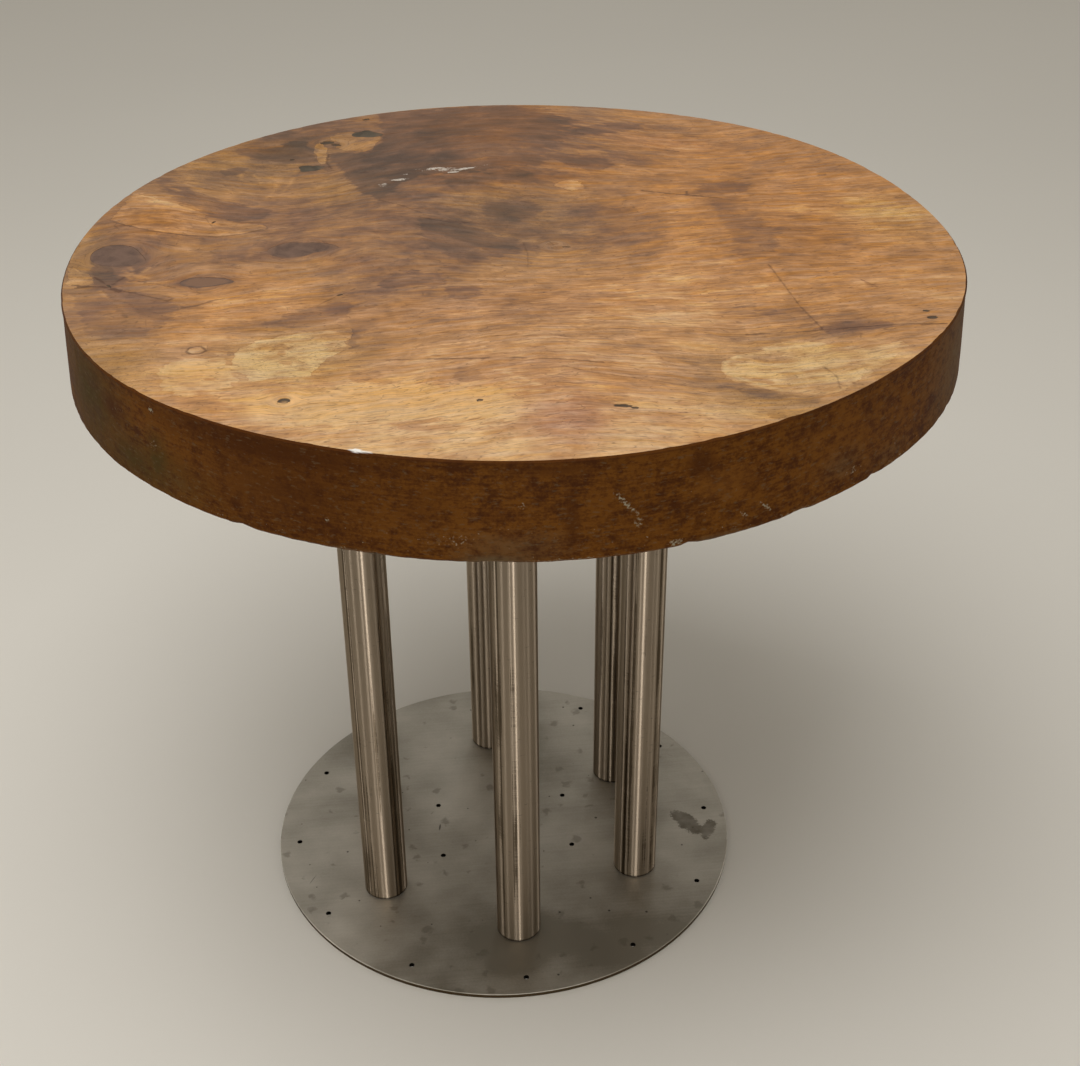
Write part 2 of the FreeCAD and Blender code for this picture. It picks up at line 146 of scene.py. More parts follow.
# The figure of the top face, in millimetres from the axis of the base.
# Clouds: "tone" adds up to lighter or darker wood, the others are soft tints and torn streaks.
CLOUDS = {
    "tone": (
        # The sapwood at the front, whose broad mark is partly painted light, and the light wood in front of
        # the middle
        Mark(0, -340, 900, 420, 0.18, 0, 0.9), Mark(-120, -335, 440, 150, 0.20, -4, 0.7),
        Mark(-140, -316, 330, 36, 0.11, -4), Mark(-265, -242, 110, 54, 0.16, 0, 0.7),
        Mark(150, -132, 240, 80, 0.14, 5), Mark(-215, -105, 130, 66, 0.20, -6),
        Mark(-280, -180, 90, 60, 0.13), Mark(10, -412, 300, 50, 0.10),
        Mark(60, -300, 160, 50, -0.15, -15), Mark(-262, -312, 100, 60, -0.15, -40),
        Mark(30, -145, 90, 60, -0.11), Mark(150, -190, 90, 30, 0.09), Mark(-130, -250, 70, 40, -0.10),
        Mark(-45, -277, 50, 34, -0.14), Mark(-150, -320, 150, 40, 0.07, -4),
        Mark(130, -120, 130, 50, 0.07, 4), Mark(240, -125, 50, 80, -0.09),
        Mark(110, -75, 80, 50, -0.07), Mark(-330, -245, 60, 60, -0.12),
        Mark(-190, -355, 100, 40, -0.09, -20), Mark(-130, -316, 80, 30, 0.07),
        Mark(-128, -235, 60, 40, 0.08), Mark(120, -380, 130, 50, 0.08, 15),
        Mark(-130, -318, 80, 44, 0.08), Mark(35, -215, 50, 80, 0.08), Mark(-85, -175, 60, 70, 0.06),
        Mark(-170, -150, 60, 36, -0.07), Mark(150, -162, 70, 30, -0.06),
        # The dark heart at the back, and its lighter and darker places
        Mark(-5, 310, 310, 270, -0.13, 0, 0.6), Mark(-95, 245, 70, 130, -0.10, 20, 0.7),
        Mark(20, 270, 60, 90, 0.07), Mark(15, 186, 160, 40, -0.16, -4, 0.7),
        Mark(-100, 150, 60, 120, -0.08, 25, 0.7), Mark(110, 340, 120, 70, -0.10, -20),
        Mark(85, 203, 90, 16, 0.10, -18), Mark(200, 240, 80, 40, -0.07, -30),
        Mark(160, 205, 50, 40, -0.08, -30), Mark(115, 216, 70, 50, -0.05, -30),
        Mark(-35, 152, 90, 60, -0.07), Mark(60, 320, 110, 190, 0.12), Mark(105, 365, 80, 50, 0.04),
        Mark(-65, 405, 120, 40, 0.11), Mark(105, 130, 70, 40, 0.08), Mark(118, 284, 60, 60, -0.08),
        # The grey middle
        Mark(-10, 70, 140, 130, -0.13, -20, 0.7), Mark(-5, 122, 60, 36, 0.10),
        Mark(85, 35, 150, 130, -0.09), Mark(-90, 60, 90, 160, -0.09, 10),
        Mark(-200, 85, 130, 110, -0.10), Mark(-185, 6, 130, 60, -0.16, 0, 0.7),
        Mark(-70, -40, 170, 34, -0.09), Mark(-8, -18, 110, 44, -0.14, -8, 0.7),
        Mark(-10, 6, 60, 40, 0.08), Mark(-125, 0, 60, 36, 0.08), Mark(150, -10, 70, 60, -0.07),
        Mark(-205, 85, 60, 50, -0.07), Mark(-110, 60, 60, 60, -0.05),
        # The left side
        Mark(-205, 305, 90, 90, -0.14, 0, 0.7), Mark(-175, 362, 80, 50, -0.20, 20),
        Mark(-165, 235, 34, 30, -0.10), Mark(-330, 215, 60, 50, -0.08, 50),
        Mark(-340, 165, 50, 40, 0.04, -40, 0.7), Mark(-325, 12, 40, 80, -0.08),
        Mark(-358, 14, 56, 80, -0.24, 10, 0.6), Mark(-358, -42, 40, 44, -0.14),
        Mark(-372, -80, 40, 34, 0.12), Mark(-345, -120, 100, 110, -0.10, 15, 0.6),
        Mark(-230, -35, 140, 40, 0.05), Mark(-268, -57, 60, 30, -0.14, 0, 0.7),
        Mark(-95, -80, 100, 60, -0.08, 10, 0.7), Mark(-150, -112, 90, 50, -0.12, 10),
        Mark(-125, -190, 50, 60, -0.14, -20), Mark(-128, -85, 56, 70, -0.11),
        Mark(-252, 238, 60, 36, -0.09, 10), Mark(-170, -30, 90, 30, 0.08),
        Mark(-335, 62, 60, 46, -0.06), Mark(-330, -160, 60, 60, -0.06),
        Mark(-250, 326, 60, 40, 0.09, 30), Mark(-328, -14, 50, 76, -0.11),
        Mark(-325, -112, 50, 50, 0.09), Mark(-210, 210, 60, 50, -0.06), Mark(-300, 48, 60, 40, -0.07),
        Mark(-285, -112, 50, 40, -0.07), Mark(-330, 130, 60, 60, -0.06), Mark(-375, -38, 40, 40, 0.06),
        Mark(-345, -138, 50, 40, 0.09), Mark(-300, -262, 50, 40, 0.06),
        Mark(-245, -328, 90, 40, -0.07, -30), Mark(-325, -238, 40, 60, -0.06, 30),
        Mark(-330, 95, 80, 60, -0.07),
        # The right side
        Mark(200, 20, 64, 190, 0.15, 0, 0.6), Mark(168, -76, 70, 24, 0.12, 12, 0.7),
        Mark(258, 117, 80, 44, -0.06, 0, 0.7), Mark(238, 190, 60, 90, 0.08),
        Mark(380, 45, 150, 60, 0.12, -12), Mark(405, -20, 120, 110, 0.12, -10),
        Mark(350, 125, 120, 36, 0.09, -8), Mark(370, -140, 200, 120, 0.11, 0, 0.9),
        Mark(300, -15, 90, 80, -0.06), Mark(255, -200, 90, 56, -0.14, -10),
        Mark(320, -200, 100, 40, -0.12), Mark(310, -232, 80, 30, -0.16),
        Mark(205, -240, 60, 30, -0.14, -10), Mark(160, -322, 90, 34, -0.18, -30),
        Mark(325, -272, 70, 44, 0.14, -20), Mark(205, 268, 110, 30, 0.16, -30, 0.6),
        Mark(175, 368, 110, 44, 0.09, -22), Mark(180, 175, 70, 40, 0.07, -20),
        Mark(345, 150, 250, 330, 0.09), Mark(430, 5, 70, 120, 0.07), Mark(195, 88, 70, 50, 0.07),
        Mark(265, -296, 120, 76, 0.09, -15), Mark(224, 30, 44, 130, -0.10),
        Mark(390, -160, 80, 70, 0.10), Mark(395, -40, 50, 60, -0.08), Mark(218, -195, 80, 44, 0.07),
        Mark(245, 110, 80, 60, -0.04), Mark(345, -238, 70, 40, 0.08), Mark(300, 225, 130, 90, 0.05),
        Mark(400, 90, 90, 90, 0.04), Mark(325, 70, 110, 90, 0.05), Mark(20, -70, 160, 60, 0.03),
        Mark(210, 262, 70, 40, 0.05, -30),
    ),
    "rust": (
        Mark(290, 80, 330, 520, 0.9, 0, 0.7), Mark(40, 340, 180, 140, 0.8),
        Mark(-320, 100, 110, 90, 0.8, -20), Mark(-110, -305, 330, 50, 0.7, -4),
        Mark(-220, 300, 80, 60, 0.6), Mark(160, -130, 180, 90, 0.6), Mark(-240, -110, 130, 90, 0.6, 30),
        Mark(-265, -245, 70, 36, 0.6), Mark(70, 190, 220, 110, 0.9, -10),
        Mark(280, 230, 260, 120, 0.9, -20),
    ),
    "olive": (
        Mark(-187, -222, 120, 110, 0.7, -8, 0.5), Mark(235, -295, 170, 110, 0.6, -14, 0.6),
        Mark(20, 60, 150, 180, 0.6), Mark(-220, 270, 220, 150, 0.7, 30),
        Mark(-345, -225, 90, 130, 0.8, 30), Mark(-130, 170, 110, 120, 0.5), Mark(400, 20, 90, 120, 0.6),
        Mark(-385, 10, 50, 140, 0.7), Mark(195, -362, 120, 60, 0.8, -30),
    ),
    "rose": (
        Mark(205, 268, 120, 40, 0.32, -30, 0.6), Mark(26, -358, 70, 84, 0.75, 0, 0.7),
        Mark(-270, -50, 80, 50, 0.26), Mark(-40, -145, 260, 80, 0.25), Mark(-130, -30, 50, 40, 0.25),
        Mark(20, -270, 160, 60, 0.22, -12),
    ),
    "straw": (
        Mark(-110, -306, 330, 46, 1.0, -6), Mark(-265, -240, 110, 70, 0.8),
        Mark(-225, -95, 160, 60, 0.6, -6), Mark(195, 20, 90, 170, 0.5),
        Mark(370, 40, 170, 60, 0.5, -10), Mark(60, -310, 160, 60, 0.6, -30),
        Mark(300, -275, 130, 50, 0.7, -20),
    ),
    "streaky": (
        Mark(120, -190, 420, 270, 1.0), Mark(-60, -322, 430, 120, 0.9, -4),
        Mark(365, 20, 210, 170, 0.9), Mark(200, 15, 80, 190, 0.6), Mark(200, 300, 240, 160, 0.6, -25),
        Mark(-310, 110, 120, 110, 0.7, -30), Mark(-225, -110, 140, 100, 0.7),
    ),
    "dashes": (
        Mark(115, -365, 70, 26, 1.0, -20), Mark(-60, -370, 560, 90, 0.45),
        Mark(-187, -225, 120, 100, 0.5), Mark(-130, -285, 200, 26, 0.7, -4),
    ),
    "scrape": (
        Mark(-40, 214, 66, 20, 1.15, 4), Mark(-8, 211, 46, 9, 1.25, 14), Mark(-22, 202, 22, 7, 1.2, 4),
        Mark(14, 217, 30, 6, 1.0, 16), Mark(-80, 187, 30, 10, 1.25, 8), Mark(-96, 173, 22, 20, 1.0, 40),
        Mark(-74, 200, 14, 8, 1.0),
    ),
}

# Patches with an edge of their own, paler or darker than the wood round them
PATCHES = {
    "pale": (
        Patch(0.75, 5, ((-152, 333), (-138, 346), (-124, 346), (-112, 331), (-92, 330), (-92, 316),
                        (-101, 298), (-107, 282), (-118, 280), (-134, 287), (-146, 296), (-141, 312),
                        (-150, 322))),
        Patch(0.9, 4, ((-166, 318), (-158, 308), (-154, 296), (-152, 272), (-154, 248), (-161, 244),
                       (-164, 270), (-170, 296))),
        Patch(0.75, 5, ((-354, 181), (-330, 164), (-300, 140), (-284, 120), (-276, 103), (-258, 97),
                        (-240, 85), (-218, 79), (-216, 68), (-238, 57), (-264, 53), (-292, 60),
                        (-332, 79), (-356, 96), (-372, 112))),
        Patch(0.95, 6, ((-234, -208), (-222, -190), (-200, -180), (-178, -176), (-150, -171),
                        (-137, -174), (-138, -190), (-144, -204), (-139, -215), (-156, -226),
                        (-166, -242), (-172, -262), (-196, -262), (-216, -268), (-230, -250),
                        (-239, -232))),
        Patch(0.65, 6, ((166, -292), (170, -276), (182, -270), (206, -262), (222, -248), (246, -250),
                        (270, -262), (292, -274), (318, -282), (300, -305), (275, -325), (252, -345),
                        (230, -348), (200, -336), (180, -322), (168, -308))),
        Patch(0.9, 5, ((166, -290), (169, -277), (180, -270), (186, -274), (178, -284), (176, -298),
                       (188, -312), (206, -324), (226, -334), (246, -332), (250, -316), (256, -318),
                       (256, -338), (238, -348), (212, -340), (188, -328), (171, -312))),
        Patch(0.7, 5, ((222, -246), (246, -250), (268, -264), (296, -268), (326, -262), (330, -270),
                       (300, -282), (262, -276), (236, -262))),
        Patch(0.8, 5, ((-397, -4), (-382, -18), (-374, -32), (-371, -46), (-382, -51), (-396, -46))),
        Patch(1.0, 8, ((80, 152), (96, 158), (112, 154), (110, 140), (96, 130), (84, 140))),
        Patch(0.60, 11, ((-297, -242), (-288, -218), (-269, -216), (-250, -208), (-244, -222),
                         (-238, -245), (-230, -264), (-238, -282), (-269, -287), (-291, -271))),
        Patch(0.42, 13, ((-190, -284), (-139, -279), (-80, -292), (-26, -305), (-6, -331), (-14, -362),
                         (-59, -344), (-108, -350), (-157, -352), (-189, -340), (-198, -310))),
        Patch(1.0, 4, ((-274, -192), (-262, -193), (-259, -201), (-266, -208), (-276, -204))),
    ),
    "dark": (
        Patch(0.75, 10, ((-95, 405), (-91, 340), (-91, 312), (-104, 288), (-112, 277), (-146, 276),
                         (-150, 252), (-140, 222), (-130, 190), (-118, 155), (-104, 132), (-92, 142),
                         (-80, 172), (-58, 196), (0, 204), (40, 230), (30, 300), (40, 412),
                         (-40, 412))),
        Patch(0.75, 40, ((-20, 418), (40, 424), (100, 400), (122, 345), (100, 300), (96, 250),
                         (60, 206), (0, 204), (-30, 300))),
        Patch(0.6, 16, ((-66, 72), (-45, 68), (-15, 50), (0, 30), (24, 2), (24, -25), (-10, -36),
                        (-40, -28), (-56, 0), (-64, 30))),
        Patch(0.6, 16, ((0, 104), (30, 112), (56, 96), (54, 66), (30, 52), (6, 66))),
        Patch(0.55, 18, ((92, 246), (110, 238), (135, 225), (149, 205), (146, 185), (128, 181),
                         (108, 200), (96, 225))),
        Patch(0.6, 10, ((-262, 296), (-250, 306), (-215, 302), (-175, 306), (-166, 290), (-164, 255),
                        (-185, 250), (-215, 262), (-240, 280))),
        Patch(0.6, 12, ((-334, 230), (-310, 206), (-285, 176), (-262, 150), (-235, 126), (-212, 112),
                        (-218, 92), (-245, 92), (-272, 106), (-284, 126), (-308, 160), (-328, 200))),
        Patch(0.7, 10, ((-114, -84), (-96, -66), (-70, -59), (-52, -66), (-50, -92), (-62, -100),
                        (-80, -88), (-100, -98))),
        Patch(0.8, 9, ((-50, -100), (-36, -95), (-20, -102), (-18, -120), (-34, -125), (-48, -118))),
        Patch(0.7, 10, ((-214, -156), (-182, -136), (-156, -119), (-138, -124), (-140, -150),
                        (-170, -166))),
        Patch(0.5, 10, ((-387, -60), (-360, -54), (-335, -72), (-300, -88), (-291, -110), (-300, -140),
                        (-315, -166), (-345, -173), (-366, -150), (-374, -120))),
        Patch(0.7, 10, ((224, 112), (232, 130), (262, 134), (284, 124), (278, 104), (250, 100))),
        Patch(0.45, 15, ((234, 96), (262, 90), (270, 40), (276, 0), (266, -56), (238, -74), (232, -40),
                         (238, 0), (233, 50))),
        Patch(0.22, 14, ((-2, -326), (30, -322), (52, -330), (56, -352), (46, -372), (36, -388),
                         (12, -390), (0, -372), (-6, -348))),
        Patch(0.7, 7, ((-268, 240), (-250, 246), (-238, 244), (-244, 230), (-264, 224))),
        Patch(0.6, 8, ((264, -226), (290, -220), (326, -222), (330, -234), (300, -240), (290, -252),
                       (272, -244))),
        Patch(0.6, 8, ((156, -322), (176, -328), (206, -342), (236, -352), (226, -362), (190, -350))),
        Patch(0.5, 6, ((-298, -212), (-284, -210), (-282, -218), (-296, -220))),
        Patch(0.5, 6, ((-140, -257), (-120, -258), (-116, -272), (-138, -278))),
        Patch(0.6, 6, ((182, -372), (198, -370), (200, -382), (188, -384))),
        Patch(0.45, 9, ((-376, -34), (-358, -30), (-346, -44), (-352, -58), (-368, -54))),
        Patch(0.6, 6, ((-110, -352), (-60, -362), (-28, -372), (-60, -372), (-104, -362))),
        Patch(0.6, 14, ((100, 300), (130, 326), (170, 338), (205, 322), (180, 304), (140, 302))),
        Patch(0.5, 12, ((150, 248), (172, 236), (194, 216), (206, 196), (190, 190), (168, 212),
                        (150, 230))),
        Patch(0.6, 12, ((44, 262), (56, 300), (84, 300), (92, 270), (76, 250))),
        Patch(0.8, 7, ((-204, 316), (-190, 326), (-174, 320), (-178, 302), (-196, 304))),
        Patch(0.5, 9, ((-374, 0), (-362, -12), (-352, -30), (-346, -46), (-356, -58), (-364, -46),
                       (-372, -30), (-378, -12))),
        Patch(0.6, 8, ((-138, -186), (-130, -190), (-132, -212), (-140, -218), (-142, -204))),
        Patch(0.8, 4, ((-203, -194), (-196, -198), (-191, -206), (-196, -206), (-203, -200))),
        Patch(0.7, 4, ((-198, -210), (-192, -214), (-193, -221), (-198, -220))),
        Patch(0.7, 4, ((-197, -230), (-188, -234), (-190, -239), (-197, -236))),
        Patch(0.8, 4, ((-242, -204), (-236, -208), (-235, -215), (-242, -213))),
        Patch(0.7, 4, ((-258, -253), (-248, -256), (-250, -261), (-258, -259))),
        Patch(0.7, 8, ((-50, -262), (-32, -264), (-28, -282), (-44, -292), (-54, -280))),
        Patch(0.7, 4, ((212, -276), (224, -280), (220, -286), (211, -283))),
        Patch(0.6, 5, ((190, -312), (206, -320), (203, -325), (188, -318))),
        Patch(0.35, 10, ((218, -178), (238, -180), (250, -200), (246, -214), (228, -206))),
        Patch(0.8, 3, ((326, -129), (332, -132), (342, -148), (338, -151), (331, -142))),
    ),
}

LINES = {
    "vein": (
        Line(0.8, ((-372, 109), (-355, 95), (-332, 78), (-292, 59), (-264, 52), (-238, 56),
                   (-215, 68))),
        Line(0.8, ((254, -85), (257, -130), (260, -180), (268, -230))),
        Line(0.8, ((-160, -236), (-110, -240), (-60, -244), (0, -250), (40, -258), (70, -268))),
        Line(0.7, ((-104, 132), (-80, 112), (-58, 84), (-30, 62), (0, 48), (30, 42))),
        Line(1.0, ((170, 120), (196, 108), (222, 98), (246, 88))),
        Line(0.9, ((-387, -56), (-362, -54), (-335, -72), (-300, -95))),
        Line(0.7, ((-277, 104), (-271, 85), (-263, 62))),
        Line(0.9, ((200, -231), (250, -232), (300, -229), (340, -228), (380, -233))),
        Line(0.7, ((250, -300), (256, -318), (253, -340))),
        Line(0.9, ((200, 246), (228, 232))),
        Line(0.7, ((235, 290), (300, 278), (330, 262))),
        Line(0.8, ((-290, -112), (-272, -108), (-256, -98))),
        Line(0.6, ((-385, -75), (-360, -80), (-335, -95), (-318, -120), (-315, -150))),
        Line(0.5, ((-372, -100), (-350, -102), (-334, -120), (-332, -146))),
        Line(0.7, ((32, -2), (33, -30), (30, -60))),
        Line(0.8, ((-166, -122), (-148, -104), (-132, -90))),
        Line(1.0, ((-390, -48), (-374, -53), (-356, -58))),
        Line(1.0, ((-372, -32), (-363, -44), (-354, -60), (-346, -70))),
        Line(0.9, ((-344, -36), (-355, -54))),
        Line(0.8, ((-330, -48), (-312, -56), (-296, -66))),
        Line(0.9, ((-152, 274), (-155, 250), (-150, 230))),
        Line(0.8, ((-250, -97), (-262, -100), (-274, -110), (-290, -114))),
        Line(0.7, ((-366, 96), (-360, 84), (-366, 70))),
        Line(0.8, ((-64, 78), (-46, 66), (-20, 54))),
        Line(0.7, ((36, -270), (60, -286), (92, -300), (130, -318))),
        Line(0.6, ((20, -284), (52, -302), (84, -310))),
        Line(0.9, ((214, 112), (213, 102))),
        Line(0.7, ((330, -130), (340, -148))),
        Line(0.7, ((310, -2), (350, -8), (378, -16))),
        Line(0.6, ((-330, 205), (-300, 165), (-262, 128))),
        Line(0.7, ((60, -12), (56, 2), (50, -4))),
        Line(0.9, ((-261, -202), (-264, -195), (-270, -193), (-276, -197), (-277, -203), (-273, -208),
                   (-266, -208), (-261, -204))),
        Line(0.6, ((-346, -10), (-338, -8), (-330, 2), (-328, 18), (-334, 32))),
        Line(0.55, ((-376, -118), (-362, -104), (-346, -98), (-330, -104), (-322, -124), (-326, -148),
                    (-342, -162))),
        Line(0.5, ((-362, -128), (-352, -116), (-340, -116), (-334, -130), (-342, -146))),
        Line(0.55, ((-306, -82), (-294, -92), (-288, -108), (-292, -130), (-304, -154))),
    ),
    "gleam": (
        Line(1.0, ((-346, 182), (-332, 166), (-318, 150))),
        Line(1.0, ((-345, 160), (-327, 154))),
        Line(1.0, ((-186, 226), (-160, 226))),
        Line(0.7, ((-246, 226), (-245, 208))),
        Line(0.5, ((90, -168), (150, -166), (220, -163))),
        Line(0.8, ((180, -141), (240, -133))),
        Line(0.9, ((-12, -276), (12, -300))),
        Line(0.9, ((184, -271), (170, -282), (168, -297), (177, -313), (192, -326), (205, -335))),
        Line(0.7, ((130, 292), (170, 276), (206, 252))),
        Line(0.8, ((-320, 200), (-308, 184))),
        Line(0.9, ((-345, -22), (-334, -34), (-322, -40))),
        Line(0.9, ((-362, -66), (-354, -84))),
        Line(0.8, ((-340, -48), (-318, -52), (-300, -50))),
        Line(0.7, ((45, 212), (80, 200), (120, 182), (190, 165))),
        Line(0.8, ((-20, -270), (8, -274))),
        Line(0.7, ((-250, -140), (-210, -146))),
        Line(0.7, ((160, 118), (192, 98))),
        Line(1.0, ((-340, -14), (-337, -26))),
        Line(1.0, ((-322, -16), (-328, -28))),
        Line(0.8, ((-346, -30), (-338, -40))),
        Line(1.0, ((-338, 178), (-326, 164), (-314, 150))),
        Line(1.0, ((-344, 158), (-330, 156), (-320, 154))),
        Line(0.7, ((-232, 222), (-226, 206), (-224, 194))),
        Line(0.5, ((-190, 206), (-194, 186), (-202, 160))),
        Line(0.4, ((-206, 196), (-210, 170), (-218, 148))),
        Line(0.5, ((180, 286), (204, 272), (222, 256))),
        Line(0.5, ((200, 282), (226, 266), (246, 250))),
        Line(0.8, ((84, 264), (104, 246), (126, 236))),
        Line(0.8, ((60, 208), (86, 196), (110, 186))),
        Line(0.7, ((160, 196), (178, 184), (192, 168))),
        Line(0.9, ((100, -142), (150, -138), (200, -134))),
        Line(0.4, ((86, -182), (140, -184), (190, -182))),
        Line(0.9, ((-14, -292), (6, -298), (20, -306))),
        Line(0.9, ((-40, -300), (-10, -308), (14, -312))),
        Line(0.8, ((-150, -284), (-110, -288), (-70, -296))),
        Line(0.8, ((150, -84), (186, -78), (222, -74))),
    ),
}

# Open knots and worm holes, apart from those that are filled
PITS = (
    Pit(-153, 314, 17, 12, 10, 3.5),
    Pit(-144, 305, 13, 7, -25, 2.5),
    Pit(-194, -303, 12, 9, 0, 2),
    Pit(-38, -322, 6, 5, 20, 1.2),
    Pit(74, -346, 15, 6, -15, 2.5),
    Pit(83, -351, 7, 4, -15, 1.2),
    Pit(369, -218, 10, 7, 10, 2.2),
    Pit(368, -204, 7, 5, 0, 1.4),
    Pit(-192, 263, 6, 5, 0, 2),
    Pit(72, -18, 9, 2.5, -10, 1.5),
    Pit(-356, -55, 9, 3, -60, 1.5),
    Pit(-268, 91, 7, 3, 60, 1.5),
    Pit(-108, 388, 9, 6, 30, 2),
    Pit(-146, -102, 7, 3, 25, 1.5),
)

# Knots that the fibres part round: place and reach, in millimetres
KNOTS = ((-352, 14, 34), (-179, 10, 26), (-267, -57, 20), (-150, 310, 22), (62, -14, 15), (-194, -303, 12))
# Stretches where the fibres run aslant: place and reach in millimetres, and slope
SLANTS = ((150, 270, 170, -0.55), (-270, 160, 120, -0.7), (110, -285, 150, -0.35), (-20, 60, 150, -0.5),
          (-220, -230, 160, -0.1), (300, 20, 150, -0.15))

# The rim, from the slab's own centre: a mark's x is its bearing in degrees, and its y the height of
# its middle above the underside
RIM_FIGURE = {
    "patina": (
        Mark(206, 50, 160, 140, 0.95, 0, 0.9), Mark(221, 48, 40, 40, 0.8, 30),
        Mark(217, 22, 190, 62, 0.9, 0, 0.9), Mark(221, 31, 46, 40, 1.0, 30),
    ),
    "ash": (
        Mark(332, 45, 170, 150, 0.8, 0, 1.0), Mark(262, 4, 60, 14, 1.0, 0, 0.7),
        Mark(303, 30, 70, 40, 0.6, 0, 0.9), Mark(247, 3, 90, 8, 0.6), Mark(286, 3, 120, 9, 0.7),
        Mark(264, 16, 130, 40, 0.6, 0, 0.9), Mark(312, 16, 130, 40, 0.5, 0, 0.9),
        Mark(224, 22, 110, 44, 0.4, 0, 0.9),
    ),
    # Rubbed ochre places, and painted light: the wide pale cloud on the right of the rim
    "ochre_and_light": (
        Mark(284, 41, 70, 44, 0.6, 0, 0.9), Mark(256, 28, 200, 46, 0.5), Mark(286.5, 50, 60, 32, 1.0),
        Mark(235, 42, 110, 60, 0.8), Mark(300, 60, 120, 40, 0.6), Mark(305, 45, 260, 110, 0.6, 0, 0.9),
    ),
    # Soot, and painted shade: the wide dark cloud on the left of the rim and the dark band under its upper
    # edge
    "soot_and_shade": (
        Mark(213, 60, 40, 24, 1.0), Mark(227.5, 80, 26, 18, 1.0), Mark(270, 42, 14, 70, 0.8),
        Mark(284, 72, 24, 24, 1.0), Mark(290, 45, 50, 26, 0.5, -20), Mark(298, 76, 90, 26, 0.5),
        Mark(239, 48, 210, 110, 0.8, 0, 0.9), Mark(238, 78, 240, 34, 1.0), Mark(268, 82, 130, 14, 0.7),
        Mark(254, 45, 90, 80, 0.6, 0, 0.9), Mark(300, 52, 110, 80, 0.3, 0, 0.9),
    ),
    "scuff": (
        Mark(275.6, 47, 52, 7, 1.0, -52, 0.9), Mark(276.8, 28, 12, 14, 0.9, 0, 0.9),
        Mark(289.4, 18, 14, 6, 1.0, -55, 0.9), Mark(292.0, 19, 24, 6, 1.0, -45, 0.9),
        Mark(220.6, 46, 36, 28, 0.70, 40, 0.9), Mark(221, 79, 12, 8, 1.0, 0, 0.9),
        Mark(264.9, 52, 8, 8, 1.0, 0, 0.9), Mark(281, 8, 24, 12, 0.9, 10, 0.9),
        Mark(305, 20, 40, 14, 0.8, 0, 0.9), Mark(244, 26, 8, 8, 1.0, 0, 0.9),
        Mark(270, 3, 170, 9, 0.80, 0, 0.9), Mark(296, 4, 110, 11, 0.80, 0, 0.9),
        Mark(246, 4, 90, 9, 0.72, 0, 0.9), Mark(313, 6, 100, 12, 0.75, 0, 0.9),
        Mark(258, 22, 90, 24, 0.72, 0, 0.9), Mark(214, 62, 60, 40, 0.64, 0, 0.9),
    ),
}
# Notches in the lower edge: bearing in degrees, length and depth in millimetres
NOTCHES = ((233, 14, 2.4), (249, 8, 2.0), (262, 34, 1.6), (283, 12, 3.4), (297, 22, 2.4), (309, 12, 3.2),
           (20, 20, 2), (75, 14, 2), (120, 26, 2), (160, 16, 2))
CHIP = Chip(248.2, 21, 3.8, 1.2)
# Dents in the outlines of the filler: bearing and half-width in degrees, depth as a share
DENTS = {
    "left_knot": ((182, 40, 0.15), (5, 45, 0.20)),
    "long_split": ((320, 25, 0.20), (75, 20, 0.12), (150, 15, 0.08)),
    "short_split": ((100, 20, 0.10), (215, 20, 0.10)),
    "back_knot": ((124, 32, 0.35), (31, 32, 0.30), (250, 40, 0.30)),
    "back_split": ((270, 35, 0.30), (70, 22, 0.30), (190, 20, 0.20)),
}
# Rings of a patch of filler: share of its reach, and how far it has sunk there as a share of its dish
FILLER_RINGS = ((1.0, 0.5), (0.97, 0.15), (0.9, 0.3), (0.7, 0.6), (0.4, 0.9))
# How much of the wood shows through the thin edge of a patch. The short split is thin in its middle.
FADED = {"left_knot": 0.3, "long_split": 0.5, "back_knot": 0.2, "back_split": 0.2}
FADED_MIDDLE = 1.4
# Rings of an open knot: share of its outline, share of its depth, and dirt
PIT_RINGS = ((0.9, 0.35, 1.0), (0.7, 0.75, 1.0), (0.35, 1.0, 0.6))
PIT_BOTTOM_DIRT = 0.5

# What the points of the slab's mesh carry, for the material of its face and of its rim
TOP_FIELDS = (*CLOUDS, *PATCHES, *(f"{name}_depth" for name in PATCHES), *LINES, "pit", "chip")
RIM_FIELDS = (*RIM_FIGURE, "chip", "height")

# Marks on the base plate: the two ovals of an old stain, two scratches, and lighter and darker clouds of
# painted light and shade
STAIN = (Mark(219, -22, 58, 24, 1, -58, 0.1), Mark(241, -39, 36, 18, 1, 62, 0.1))
SCRATCHES = (Mark(-77, 5, 10, 2.0, 0.7, 80, 0.3), Mark(-229, -66, 14, 1.2, 0.4, 60, 0.3))
PLATE_LIGHT_AND_SHADE = (Mark(-205, -90, 120, 250, 0.24, 0, 1), Mark(-120, -60, 90, 60, 0.30, 0, 1),
          Mark(-40, 90, 90, 170, 0.30, 0, 1), Mark(40, -205, 330, 110, -0.50, 0, 1),
          Mark(0, -190, 70, 70, -0.40, 0, 1), Mark(150, -160, 130, 100, -0.25, 0, 1),
          Mark(30, 130, 90, 150, -0.45, 0, 1), Mark(140, 0, 80, 60, -0.35, 0, 1),
          Mark(-160, 170, 90, 70, -0.35, 0, 1))


class Strip(NamedTuple):
    """An upright strip lamp: bearing from the table in degrees, width in metres, power in watts."""

    bearing: float
    width: float
    power: float


# The lamps round the table draw bright lines down its tubes
STRIPS = (Strip(134, 0.60, 30), Strip(186, 0.40, 46), Strip(218, 0.35, 26), Strip(252, 0.30, 44),
          Strip(269, 0.30, 120), Strip(280, 0.30, 10), Strip(311, 0.35, 9), Strip(329, 0.40, 20),
          Strip(9, 0.90, 48), Strip(75, 0.45, 10), Strip(115, 0.45, 14))


